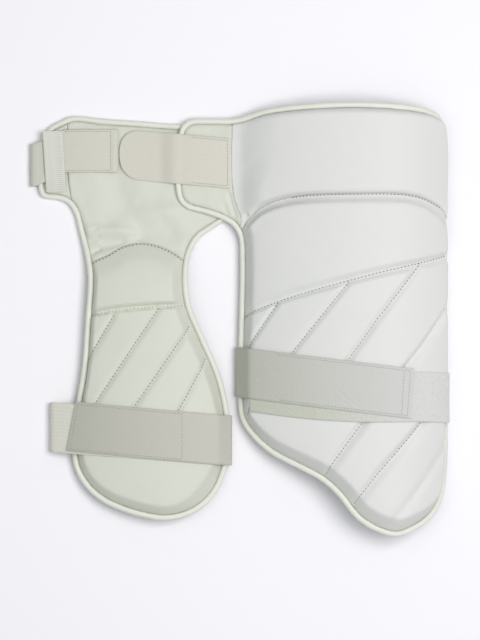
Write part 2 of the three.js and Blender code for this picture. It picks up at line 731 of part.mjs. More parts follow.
// The outer guard: wing, hip pad and thigh pad inside one piping
const outerEdge = closedCurve(outer, OUTER_EDGE_LINE);
const outerCover = inset(outerEdge, PIPING_DIAMETER / 2 + FIT - SEAM_GAP / 2);
const [outerMain, wingOutline] = cutOutline(outerCover, openCurve(outer, WING_SEAM));
const [hipOutline, thighOutline] = cutOutline(outerMain, openCurve(outer, HIP_SEAM));
const HIP_FRONT_ACROSS = 0.02; // left of this the hip pad's edge is the slope towards the wing
const hipStart = outer.pattern({ across: HIP_FRONT_ACROSS, up: 0 }).x;
const seamUp = outer.plan({ across: 0, up: HIP_FOOT_UP }).y;

const wingPad = flatPad(inset(wingOutline, SEAM_GAP / 2), {
  edge: WING_FOAM - WING_BEVEL,
  foam: WING_FOAM,
  widthAt: () => WING_BEVEL,
});
const hipPad = flatPad(inset(hipOutline, SEAM_GAP / 2), {
  edge: OUTER_EDGE,
  foam: HIP_FOAM,
  widthAt: (p) => (p.x < hipStart ? HIP_FRONT_SLOPE : HIP_BEVEL),
});
const thighPad = flatPad(inset(thighOutline, SEAM_GAP / 2), {
  edge: OUTER_EDGE,
  foam: OUTER_FOAM,
  widthAt: (p) => (p.y > seamUp ? OUTER_TOP_BEVEL : OUTER_BEVEL),
});

// The inner guard: strap tab panel, soft hanger and thigh pad inside one piping
const innerEdge = closedCurve(inner, INNER_EDGE_LINE);
const innerCover = inset(innerEdge, PIPING_DIAMETER / 2 + FIT - SEAM_GAP / 2);
const [innerUpper, innerThighOutline] = cutOutline(innerCover, openCurve(inner, ARC_SEAM));
const [hangerOutline, tabOutline] = cutOutline(innerUpper, openCurve(inner, TAB_SEAM));
const ARC_FOOT_UP = 0.62;
const arcCrownUp = inner.plan({ across: 0, up: ARC_FOOT_UP }).y;

const innerPad = flatPad(inset(innerThighOutline, SEAM_GAP / 2), {
  edge: INNER_EDGE,
  foam: INNER_FOAM,
  widthAt: (p) => (p.y > arcCrownUp ? INNER_BROW : INNER_BEVEL),
});
const hanger = flatPad(inset(hangerOutline, SEAM_GAP / 2), {
  edge: HANGER_EDGE,
  foam: HANGER_FOAM,
  widthAt: () => HANGER_BEVEL,
});
const tabPanel = flatPad(inset(tabOutline, SEAM_GAP / 2), {
  edge: TAB_PANEL_EDGE,
  foam: TAB_PANEL_FOAM,
  widthAt: () => TAB_PANEL_BEVEL,
});

/** How far the hanger's face stands above its plain thickness, for a point of its pattern. */
function foldAt(along, y, height) {
  const p = new THREE.Vector2(inner.roll(along), y);
  const rise = HANGER_FOLDS.reduce((sum, fold) => {
    const from = inner.plan({ across: fold.fromAcross, up: fold.fromUp });
    const run = inner.plan({ across: fold.toAcross, up: fold.toUp }).sub(from);
    const share = THREE.MathUtils.clamp(p.clone().sub(from).dot(run) / run.lengthSq(), 0, 1);
    const away = p.distanceTo(from.clone().addScaledVector(run, share)) / fold.halfWidth;
    return sum + fold.height * Math.exp(-away * away);
  }, 0);
  return (rise * height) / HANGER_FOAM;
}

const pieces = {
  waist_wing: [bend(wingPad, onto(outer)), COLOURS.ivory],
  hip_pad: [bend(hipPad, onto(outer)), COLOURS.cover],
  outer_thigh_pad: [bend(withChannels(thighPad, outer, OUTER_PANEL_SEAM, OUTER_CHANNELS, OUTER_FOAM), onto(outer)), COLOURS.cover],
  outer_piping: [pipingOf(outer, outerEdge), COLOURS.piping],
  inner_thigh_pad: [bend(withChannels(innerPad, inner, INNER_PANEL_SEAM, INNER_CHANNELS, INNER_FOAM), onto(inner)), COLOURS.ivory],
  hanger_panel: [bend(hanger, onto(inner, foldAt)), COLOURS.ivory],
  strap_tab_panel: [bend(tabPanel, onto(inner)), COLOURS.ivory],
  inner_piping: [pipingOf(inner, innerEdge), COLOURS.piping],
};
const shapeOf = (name) => pieces[name][0];

/** The Y of a strap's middle, from its heights at a guard's two sides. */
const middleLine = (shell, { leftUp, rightUp }) => (p) => {
  const share = (p.x - shell.left) / shell.width;
  return shell.plan({ across: 0, up: lerp(leftUp, rightUp, share) }).y;
};

/** The closed path that a taut band takes round some pieces, down to the level that they rest on. */
function wrapPath(points) {
  const xs = points.map((p) => p.x);
  const [left, right] = [Math.min(...xs), Math.max(...xs)];
  const TUCK = 4; // the band turns under this far inside the edge
  return hull([...points, new THREE.Vector2(left + TUCK, REST), new THREE.Vector2(right - TUCK, REST)]);
}

const spanOf = (shell, { leftUp, rightUp }, width) => {
  const [a, b] = [leftUp, rightUp].map((up) => shell.plan({ across: 0, up }).y);
  return [Math.min(a, b) - width / 2, Math.max(a, b) + width / 2];
};
const pointsOf = (geometry, keep) => {
  const positions = geometry.attributes.position;
  const points = Array.from({ length: positions.count }, (_, i) => new THREE.Vector3().fromBufferAttribute(positions, i));
  return points.filter(keep).map((p) => new THREE.Vector2(p.x, p.z));
};

/** The highest that some pieces reach between two places across, and some way either side. */
function topOver(names, span, low, high) {
  const MARGIN = 20;
  const points = sectionPoints(names.map(shapeOf), "y", span[0] - MARGIN / 4, span[1] + MARGIN / 4);
  return Math.max(...points.filter((p) => p.x > low - MARGIN && p.x < high + MARGIN).map((p) => p.y));
}

const constantWidth = (width) => () => width / 2;

// The outer guard's loop band, then the elastic that hooks onto it
const outerSpan = spanOf(outer, OUTER_LEG_STRAP, LEG_STRAP_WIDTH);
const outerSection = sectionPoints([shapeOf("outer_thigh_pad"), shapeOf("outer_piping")], "y", ...outerSpan);
const outerJoin = outer.plan({ across: OUTER_STRAP_JOIN, up: 0 }).x;
const outerBandStart = outer.plan({ across: OUTER_LOOP_BAND.startAcross, up: 0 }).x;
const outerStrapEnd = outer.plan({ across: OUTER_LEG_STRAP.endAcross, up: 0 }).x;
const outerBandRun = stretch(
  wrapPath(outerSection),
  { across: outerJoin + FIT, front: false },
  { across: outerBandStart, front: true },
);
pieces.outer_loop_band = [
  band(outerBandRun, {
    gap: FIT,
    thickness: LOOP_BAND_THICKNESS,
    halfWidth: constantWidth(LEG_STRAP_WIDTH),
    middleAt: middleLine(outer, OUTER_LOOP_BAND),
    toSpace: acrossX,
  }),
  COLOURS.loop,
];
const BAND_LAP = 6; // the elastic keeps over the loop band until this far past its end
const outerBandFace = pointsOf(shapeOf("outer_loop_band"), (p) => p.z > REST + OUTER_RISE / 2 && p.x < outerStrapEnd + BAND_LAP);
const outerStrapRun = stretch(
  wrapPath([...outerSection, ...outerBandFace]),
  { across: outerStrapEnd, front: true },
  { across: outerJoin, front: false },
);
pieces.outer_leg_strap = [
  band(outerStrapRun, {
    gap: FIT,
    thickness: STRAP_THICKNESS,
    halfWidth: constantWidth(LEG_STRAP_WIDTH),
    middleAt: middleLine(outer, OUTER_LEG_STRAP),
    toSpace: acrossX,
  }),
  COLOURS.elastic,
];

// The inner guard's loop band, with its slack loop at the left, then its elastic
const innerSpan = spanOf(inner, INNER_LEG_STRAP, LEG_STRAP_WIDTH);
const innerSection = sectionPoints([shapeOf("inner_thigh_pad"), shapeOf("inner_piping")], "y", ...innerSpan);
const SLACK_RADIUS = 5;
const slackRoller = roller(inner.left - INNER_LOOP_SLACK + SLACK_RADIUS, REST + SLACK_RADIUS, SLACK_RADIUS);
const innerJoin = inner.plan({ across: INNER_STRAP_JOIN, up: 0 }).x;
const innerBandRun = stretch(
  wrapPath([...innerSection, ...slackRoller]),
  { across: inner.plan({ across: INNER_LOOP_BAND.startAcross, up: 0 }).x, front: true },
  { across: innerJoin - FIT, front: false },
);
pieces.inner_loop_band = [
  band(innerBandRun, {
    gap: FIT,
    thickness: LOOP_BAND_THICKNESS,
    halfWidth: constantWidth(LEG_STRAP_WIDTH),
    middleAt: middleLine(inner, INNER_LOOP_BAND),
    toSpace: acrossX,
  }),
  COLOURS.loop,
];
const innerStrapEnd = inner.plan({ across: INNER_LEG_STRAP.endAcross, up: 0 }).x;
const innerBandFace = pointsOf(shapeOf("inner_loop_band"), (p) => p.z > REST + SLACK_RADIUS && p.x > innerStrapEnd - 2 * BAND_LAP);
const innerStrapRun = stretch(
  wrapPath([...innerSection, ...innerBandFace]),
  { across: innerJoin, front: false },
  { across: innerStrapEnd, front: true },
).reverse();
pieces.inner_leg_strap = [
  band(innerStrapRun, {
    gap: -FIT - STRAP_THICKNESS,
    thickness: STRAP_THICKNESS,
    halfWidth: constantWidth(LEG_STRAP_WIDTH),
    middleAt: middleLine(inner, INNER_LEG_STRAP),
    toSpace: acrossX,
    slant: STRAP_END_SLANT,
  }),
  COLOURS.elastic,
];

// The waist strap: a hook patch under its end, the end on the hanger, its fold, and the stretch behind both guards
const waistMiddle = inner.plan({ across: 0, up: WAIST_STRAP_ROUTE.tabUp }).y;
const foldMiddle = inner.plan({ across: 0, up: WAIST_STRAP_ROUTE.foldUp }).y;
const waistEnd = inner.plan({ across: WAIST_STRAP_END, up: 0 }).x;
const hangerLeft = inner.plan({ across: -0.04, up: 0 }).x;
const patchLevel = topOver(["hanger_panel"], [waistMiddle - WAIST_STRAP_WIDTH / 2, waistMiddle + WAIST_STRAP_WIDTH / 2], hangerLeft, waistEnd);
const patchRun = [new THREE.Vector2(waistEnd - 1, patchLevel), new THREE.Vector2(hangerLeft + 3, patchLevel)];
pieces.waist_hook_patch = [
  band(patchRun, {
    gap: FIT,
    thickness: HOOK_PATCH_THICKNESS,
    halfWidth: constantWidth(WAIST_STRAP_WIDTH),
    middleAt: () => waistMiddle,
    toSpace: acrossX,
  }),
  COLOURS.tape,
];
const waistSpan = [Math.min(waistMiddle, foldMiddle) - WAIST_STRAP_WIDTH / 2, waistMiddle + WAIST_STRAP_WIDTH / 2];
const waistSection = sectionPoints(
  [shapeOf("strap_tab_panel"), shapeOf("hanger_panel"), shapeOf("inner_piping"), shapeOf("waist_hook_patch")],
  "y",
  ...waistSpan,
).filter((p) => p.x < waistEnd);
const waistLeft = Math.min(...waistSection.map((p) => p.x));
const FOLD_RADIUS = 2.6;
const waistPath = hull([
  ...waistSection,
  ...roller(waistLeft - WAIST_STRAP_FOLD + FOLD_RADIUS + STRAP_THICKNESS, REST + FOLD_RADIUS, FOLD_RADIUS),
  new THREE.Vector2(outerJoin, REST),
]);
const waistRun = stretch(waistPath, { across: waistEnd - 2, front: true }, { across: outerJoin - FIT, front: false });
const keeperX = inner.plan({ across: KEEPER_SPAN.across, up: 0 }).x;
pieces.waist_strap = [
  band(waistRun, {
    gap: FIT,
    thickness: STRAP_THICKNESS,
    halfWidth: constantWidth(WAIST_STRAP_WIDTH),
    middleAt: (p) => lerp(foldMiddle, waistMiddle, p.y > REST + 2 * FIT ? smoothstep(p.x, waistLeft - WAIST_STRAP_FOLD, hangerLeft) : 0),
    toSpace: acrossX,
  }),
  COLOURS.elastic,
];

// The keeper: a narrow webbing sewn to the tab panel at its ends, over the waist strap
const keeperSpan = [keeperX - KEEPER_WIDTH / 2, keeperX + KEEPER_WIDTH / 2];
const keeperLow = inner.plan({ across: 0, up: KEEPER_SPAN.lowUp }).y;
const keeperHigh = inner.plan({ across: 0, up: KEEPER_SPAN.highUp }).y;
const keeperSection = sectionPoints([shapeOf("waist_strap"), shapeOf("strap_tab_panel")], "x", ...keeperSpan);
const keeperRun = stretch(hull(keeperSection), { across: keeperHigh, front: true }, { across: keeperLow, front: true });
pieces.strap_keeper = [
  band(keeperRun, {
    gap: FIT,
    thickness: KEEPER_THICKNESS,
    halfWidth: constantWidth(KEEPER_WIDTH),
    middleAt: () => keeperX,
    toSpace: acrossY,
  }),
  COLOURS.ivory,
];

// The joining tab: sewn to the wing, over its piping, and hooked onto the hanger
const tabLeft = inner.plan({ across: JOINING_TAB_PLACE.leftAcross, up: 0 }).x;
const tabRight = tabLeft + JOINING_TAB_LENGTH;
const [tabLeftY, tabRightY] = [JOINING_TAB_PLACE.leftUp, JOINING_TAB_PLACE.rightUp].map((up) => inner.plan({ across: 0, up }).y);
const tabMiddle = (p) => lerp(tabLeftY, tabRightY, (p.x - tabLeft) / JOINING_TAB_LENGTH);
const wingPipingX = outer.plan({ across: -0.315, up: 0 }).x;
const tabSpan = [Math.min(tabLeftY, tabRightY) - JOINING_TAB_WIDTH / 2, Math.max(tabLeftY, tabRightY) + JOINING_TAB_WIDTH / 2];
const wingTop = topOver(["waist_wing"], tabSpan, wingPipingX, tabRight);
const pipingTop = topOver(["outer_piping"], tabSpan, wingPipingX, wingPipingX);
const hangerTop = topOver(["hanger_panel"], tabSpan, tabLeft, wingPipingX);
const tabKnots = [
  [tabRight, wingTop],
  [wingPipingX + 2.5 * PIPING_DIAMETER, wingTop],
  [wingPipingX + 0.9 * PIPING_DIAMETER, pipingTop],
  [wingPipingX - 0.6 * PIPING_DIAMETER, pipingTop],
  [wingPipingX - TAB_DROP, lerp(hangerTop, pipingTop, 0.12)],
  [wingPipingX - TAB_DROP - PIPING_DIAMETER, hangerTop],
  [tabLeft, hangerTop],
].map(([x, z]) => new THREE.Vector3(x, z, 0));
const tabCurve = new THREE.CatmullRomCurve3(tabKnots, false, "centripetal");
const TAB_STEPS = 40;
const tabRun = tabCurve.getSpacedPoints(TAB_STEPS).map((p) => new THREE.Vector2(p.x, p.y));
pieces.joining_tab = [
  band(tabRun, {
    gap: FIT,
    thickness: JOINING_TAB_THICKNESS,
    halfWidth: (along, total) => {
      const left = Math.max(0, 1 - (total - along) / JOINING_TAB_ROUND);
      return JOINING_TAB_WIDTH / 2 - JOINING_TAB_ROUND * (1 - Math.sqrt(1 - left ** 2));
    },
    middleAt: tabMiddle,
    toSpace: acrossX,
  }),
  COLOURS.tape,
];

const ROUGHNESS = { leather: 0.45, cloth: 0.9 };
const clothColours = [COLOURS.elastic, COLOURS.loop, COLOURS.tape];
const guard = new THREE.Group();
for (const [name, [geometry, colour]] of Object.entries(pieces)) {
  const roughness = clothColours.includes(colour) ? ROUGHNESS.cloth : ROUGHNESS.leather;
  const mesh = new THREE.Mesh(geometry, new THREE.MeshStandardMaterial({ color: colour, roughness, metalness: 0 }));
  mesh.name = name;
  guard.add(mesh);
}
const box = new THREE.Box3().setFromObject(guard);
const centre = box.getCenter(new THREE.Vector3());
guard.position.set(-centre.x, -centre.y, -box.min.z);

export default guard;
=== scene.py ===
"""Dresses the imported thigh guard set: padded covers, piping, straps, stitches, floor, lights and camera."""

import logging
import math
from dataclasses import dataclass, field
from enum import Enum
from typing import Callable, Sequence

import bpy
import numpy as np
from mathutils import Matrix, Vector
from mathutils.geometry import delaunay_2d_cdt
from mathutils.kdtree import KDTree


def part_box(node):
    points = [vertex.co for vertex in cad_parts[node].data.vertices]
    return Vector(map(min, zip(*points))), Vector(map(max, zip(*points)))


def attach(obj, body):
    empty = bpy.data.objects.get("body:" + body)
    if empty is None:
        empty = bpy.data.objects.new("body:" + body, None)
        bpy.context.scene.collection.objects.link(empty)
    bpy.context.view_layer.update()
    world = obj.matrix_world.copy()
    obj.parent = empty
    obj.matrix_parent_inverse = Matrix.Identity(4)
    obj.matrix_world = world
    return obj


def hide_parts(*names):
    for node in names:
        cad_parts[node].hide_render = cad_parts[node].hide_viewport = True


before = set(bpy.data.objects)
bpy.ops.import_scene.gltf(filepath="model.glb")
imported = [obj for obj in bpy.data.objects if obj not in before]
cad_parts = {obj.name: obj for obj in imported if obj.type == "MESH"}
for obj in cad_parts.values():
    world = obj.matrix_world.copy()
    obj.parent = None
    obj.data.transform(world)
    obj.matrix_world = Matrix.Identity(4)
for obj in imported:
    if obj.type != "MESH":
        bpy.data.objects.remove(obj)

LOG = logging.getLogger("thigh_guard")
MM = 0.001
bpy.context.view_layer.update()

# Sizes in millimetres that the pieces share, the same as the solids'
FIT = 0.3
PIPING_DIAMETER = 5.6
REST = 2.1
GUARD_SPACING = 166.0
OUTER_FOOT = -214.0
INNER_FOOT = -198.5
WING_LEVEL = REST + PIPING_DIAMETER + 2 * FIT
EDGE_LIFT = 3.8
SHEET_SPACING = 1.7
WALL_LEVELS = (0.15, 0.5, 0.85)
WAIST_END_ACROSS = 0.29
WAIST_STRAP_UP = 0.919
PATCH_INSET = 1.0

Row = tuple[float, float]
Fold = tuple[Row, Row, float, float]
Spread = Callable[[np.ndarray], np.ndarray]
Relief = Callable[[np.ndarray, np.ndarray], np.ndarray]

OUTER_EDGE_LINE: tuple[Row, ...] = (
    (-0.25, 0.962), (-0.285, 0.95), (-0.3, 0.929), (-0.315, 0.873), (-0.313, 0.813), (-0.298, 0.781),
    (-0.265, 0.766), (-0.175, 0.754), (-0.09, 0.74), (-0.03, 0.722), (0.007, 0.693), (0.015, 0.635),
    (0.009, 0.476), (0.004, 0.322), (0.015, 0.271), (0.061, 0.234), (0.157, 0.192), (0.305, 0.155),
    (0.407, 0.129), (0.486, 0.096), (0.585, 0.039), (0.68, 0.011), (0.765, 0.0), (0.845, 0.012),
    (0.94, 0.046), (0.985, 0.088), (1.0, 0.161), (1.0, 0.313), (1.0, 0.546), (1.0, 0.78), (1.0, 0.908),
    (0.98, 0.967), (0.925, 0.984), (0.76, 0.996), (0.55, 1.0), (0.3, 0.995), (0.13, 0.985), (0.03, 0.971),
    (-0.045, 0.964), (-0.15, 0.964),
)
WING_SEAM: tuple[Row, ...] = ((-0.04, 1.05), (-0.04, 0.8), (-0.02, 0.765), (0.005, 0.735), (-0.02, 0.7))
HIP_SEAM: tuple[Row, ...] = (
    (-0.03, 0.69), (0.005, 0.705), (0.03, 0.724), (0.06, 0.74), (0.1, 0.758), (0.16, 0.773), (0.23, 0.783),
    (0.325, 0.79), (0.6, 0.794), (0.775, 0.793), (0.85, 0.787), (0.905, 0.776), (0.95, 0.761), (0.98, 0.742),
    (1.03, 0.71),
)
INNER_EDGE_LINE: tuple[Row, ...] = (
    (-0.079, 0.991), (-0.158, 0.975), (-0.211, 0.948), (-0.23, 0.895), (-0.23, 0.83), (-0.211, 0.809),
    (-0.112, 0.803), (-0.046, 0.793), (0.003, 0.768), (0.039, 0.718), (0.079, 0.66), (0.104, 0.6),
    (0.089, 0.495), (0.063, 0.368), (0.02, 0.27), (0.0, 0.195), (0.013, 0.13), (0.086, 0.079),
    (0.191, 0.045), (0.316, 0.023), (0.447, 0.008), (0.586, 0.0), (0.711, 0.008), (0.822, 0.03),
    (0.914, 0.068), (0.974, 0.125), (0.995, 0.2), (0.98, 0.283), (0.924, 0.365), (0.819, 0.458),
    (0.743, 0.53), (0.722, 0.595), (0.74, 0.658), (0.803, 0.703), (0.901, 0.731), (0.98, 0.755),
    (1.007, 0.808), (1.007, 0.92), (0.961, 0.973), (0.829, 0.976), (0.645, 0.98), (0.368, 0.988),
    (0.171, 0.993), (0.013, 1.0), (-0.04, 0.998),
)
ARC_SEAM: tuple[Row, ...] = (
    (0.02, 0.627), (0.092, 0.636), (0.138, 0.643), (0.217, 0.656), (0.289, 0.673), (0.368, 0.683),
    (0.441, 0.686), (0.52, 0.681), (0.599, 0.67), (0.664, 0.656), (0.724, 0.639), (0.8, 0.622),
)
TAB_SEAM: tuple[Row, ...] = ((-0.053, 1.03), (-0.05, 0.86), (-0.03, 0.8), (-0.02, 0.75))
OUTER_PANEL_SEAM: tuple[Row, ...] = ((-0.05, 0.49), (0.222, 0.544), (0.597, 0.598), (1.1, 0.667))
INNER_PANEL_SEAM: tuple[Row, ...] = ((0.02, 0.499), (0.307, 0.52), (0.9, 0.535))


def linear(code: int) -> tuple[float, float, float, float]:
    """Turns an sRGB hex value to linear colour.

    Args:
        code: the colour as 0xRRGGBB.

    Returns:
        Linear red, green, blue and an alpha of one.
    """
    shares = [((code >> shift) & 255) / 255 for shift in (16, 8, 0)]
    lit = [s / 12.92 if s <= 0.04045 else ((s + 0.055) / 1.055) ** 2.4 for s in shares]
    return (lit[0], lit[1], lit[2], 1.0)


def smoothstep(value: np.ndarray | float, low: float, high: float) -> np.ndarray | float:
    """Rises smoothly from 0 at low to 1 at high."""
    share = np.clip((value - low) / (high - low), 0.0, 1.0)
    return share * share * (3 - 2 * share)


def quarter_round(distance: np.ndarray, radius: float) -> np.ndarray:
    """Rises like a quarter circle, from 0 at an edge to 1 at a radius from it."""
    return np.sqrt(1 - (1 - np.clip(distance / radius, 0, 1)) ** 2)


def smooth_min(a: np.ndarray, b: np.ndarray | float, blend: float) -> np.ndarray:
    """The lesser of two heights, with a rounded change from one to the other."""
    return (a + b - np.sqrt((a - b) ** 2 + blend * blend)) / 2


def swelling(inside: np.ndarray, pressed: np.ndarray, most: float) -> np.ndarray:
    """How far foam stands up away from its edges and its sewn channels."""
    calm = np.minimum(np.maximum(inside, 0), 30) / 30
    return most * (1 - np.exp(-calm * 3)) * (1 - np.clip(pressed / 3, 0, 1))


def waves(points: np.ndarray, wavelength: float, seed: int, count: int = 7) -> np.ndarray:
    """Gentle unevenness, as a sum of waves in seeded directions.

    Args:
        points: places in the plane, in millimetres.
        wavelength: the mean length of the waves in millimetres.
        seed: fixes the directions and phases.
        count: how many waves are summed.

    Returns:
        One value a point, mostly within -1 and 1.
    """
    rng = np.random.default_rng(seed)
    total = np.zeros(len(points))
    for _ in range(count):
        angle, phase = rng.uniform(0, 2 * math.pi, 2)
        turn = 2 * math.pi / (wavelength * rng.uniform(0.7, 1.6))
        total += np.sin(turn * (points[:, 0] * math.cos(angle) + points[:, 1] * math.sin(angle)) + phase)
    return total / math.sqrt(count) * 0.8


def distance_to(points: np.ndarray, line: np.ndarray, closed: bool = False) -> np.ndarray:
    """How far each point lies from a polyline.

    Args:
        points: places in the plane.
        line: the polyline's corners.
        closed: whether its last corner joins its first.

    Returns:
        One distance a point.
    """
    ends = np.roll(line, -1, axis=0) if closed else line[1:]
    starts = line if closed else line[:-1]
    nearest = np.full(len(points), 1e9)
    for a, b in zip(starts, ends):
        run = b - a
        share = np.clip(((points - a) @ run) / max(float(run @ run), 1e-9), 0, 1)
        nearest = np.minimum(nearest, np.hypot(*(points - a - share[:, None] * run).T))
    return nearest


def beside(points: np.ndarray, line: np.ndarray) -> tuple[np.ndarray, np.ndarray, np.ndarray]:
    """Where each point lies along and beside a polyline.

    Args:
        points: places in the plane.
        line: the polyline's corners.

    Returns:
        The distance from the line, 1 on its left or -1 on its right, and the share of its length.
    """
    nearest, side, along = np.full(len(points), 1e9), np.ones(len(points)), np.zeros(len(points))
    travelled = 0.0
    for a, b in zip(line[:-1], line[1:]):
        run = b - a
        length = float(np.linalg.norm(run))
        share = np.clip(((points - a) @ run) / length ** 2, 0, 1)
        distance = np.hypot(*(points - a - share[:, None] * run).T)
        turn = run[0] * (points[:, 1] - a[1]) - run[1] * (points[:, 0] - a[0])
        closer = distance < nearest
        nearest = np.where(closer, distance, nearest)
        side = np.where(closer, np.where(turn >= 0, 1.0, -1.0), side)
        along = np.where(closer, travelled + share * length, along)
        travelled += length
    return nearest, side, along / travelled


def spline(knots: np.ndarray, closed: bool, step: float) -> np.ndarray:
    """A smooth curve through some knots, at even steps.

    Args:
        knots: the points that it passes.
        closed: whether it returns to its first knot.
        step: distance between the points that are returned.

    Returns:
        Points on a centripetal Catmull-Rom curve.
    """
    count = len(knots)
    if closed:
        ring = np.vstack([knots[-1], knots, knots[0], knots[1]])
    else:
        ring = np.vstack([2 * knots[0] - knots[1], knots, 2 * knots[-1] - knots[-2]])
    fine: list[np.ndarray] = []
    for i in range(count if closed else count - 1):
        p0, p1, p2, p3 = ring[i:i + 4]
        d = [max(float(np.linalg.norm(b - a)), 1e-6) ** 0.5 for a, b in ((p0, p1), (p1, p2), (p2, p3))]
        t1 = ((p1 - p0) / d[0] - (p2 - p0) / (d[0] + d[1]) + (p2 - p1) / d[1]) * d[1]
        t2 = ((p2 - p1) / d[1] - (p3 - p1) / (d[1] + d[2]) + (p3 - p2) / d[2]) * d[1]
        s = np.linspace(0, 1, 40, endpoint=False)[:, None]
        c2, c3 = -3 * p1 + 3 * p2 - 2 * t1 - t2, 2 * p1 - 2 * p2 + t1 + t2
        fine.append(p1 + t1 * s + c2 * s ** 2 + c3 * s ** 3)
    path = np.vstack(fine + [knots[:1] if closed else knots[-1:]])
    return resample(path, step, closed)


def resample(path: np.ndarray, step: float, closed: bool = False) -> np.ndarray:
    """Even steps along a polyline. A closed one repeats its first point at its end and loses it here."""
    along = lengths_along(path)
    parts = max(int(round(along[-1] / step)), 2)
    spots = np.linspace(0, along[-1], parts + 1)
    even = np.column_stack([np.interp(spots, along, path[:, k]) for k in range(path.shape[1])])
    return even[:-1] if closed else even


def even_ring(outline: np.ndarray, step: float) -> np.ndarray:
    """Even steps round a closed outline."""
    return resample(np.vstack([outline, outline[:1]]), step, closed=True)


def lengths_along(path: np.ndarray) -> np.ndarray:
    """The distance of each corner of a path from its start."""
    return np.concatenate([[0], np.cumsum(np.linalg.norm(np.diff(path, axis=0), axis=1))])


def inward(ring: np.ndarray) -> np.ndarray:
    """The directions into a counterclockwise outline at its points."""
    ahead = np.roll(ring, -1, axis=0) - np.roll(ring, 1, axis=0)
    ahead /= np.linalg.norm(ahead, axis=1)[:, None]
    return np.column_stack([-ahead[:, 1], ahead[:, 0]])


def corners_between(ring: np.ndarray, start: int, stop: int) -> list[np.ndarray]:
    """A closed outline's corners from after one of its edges up to another."""
    count = (stop - start) % len(ring)
    return [ring[(start + 1 + i) % len(ring)] for i in range(count)]


def cut_outline(outline: np.ndarray, line: np.ndarray) -> tuple[np.ndarray, np.ndarray]:
    """Cuts a counterclockwise outline along a line that crosses it.

    Args:
        outline: the closed outline.
        line: the seam, which starts and ends outside.

    Returns:
        The part on the line's left and the part on its right.
    """
    hits: list[tuple[float, int, int, np.ndarray]] = []
    for edge in range(len(outline)):
        a, b = outline[edge], outline[(edge + 1) % len(outline)]
        for step in range(len(line) - 1):
            c, d = line[step], line[step + 1]
            turn = (b[0] - a[0]) * (d[1] - c[1]) - (b[1] - a[1]) * (d[0] - c[0])
            if abs(turn) < 1e-9:
                continue
            s = ((c[0] - a[0]) * (d[1] - c[1]) - (c[1] - a[1]) * (d[0] - c[0])) / turn
            t = ((c[0] - a[0]) * (b[1] - a[1]) - (c[1] - a[1]) * (b[0] - a[0])) / turn
            if 0 <= s < 1 and 0 <= t < 1:
                hits.append((step + t, edge, step, a + (b - a) * s))
    hits.sort(key=lambda hit: hit[0])
    first, last = hits[0], hits[-1]
    seam = [first[3], *line[first[2] + 1:last[2] + 1], last[3]]
    left = np.array([*corners_between(outline, last[1], first[1]), *seam])
    right = np.array([*corners_between(outline, first[1], last[1]), *seam[::-1]])
    return thinned(left), thinned(right)


def thinned(ring: np.ndarray) -> np.ndarray:
    """An outline without points that lie almost on their neighbour."""
    keep = np.linalg.norm(ring - np.roll(ring, 1, axis=0), axis=1) > 0.5
    return ring[keep]


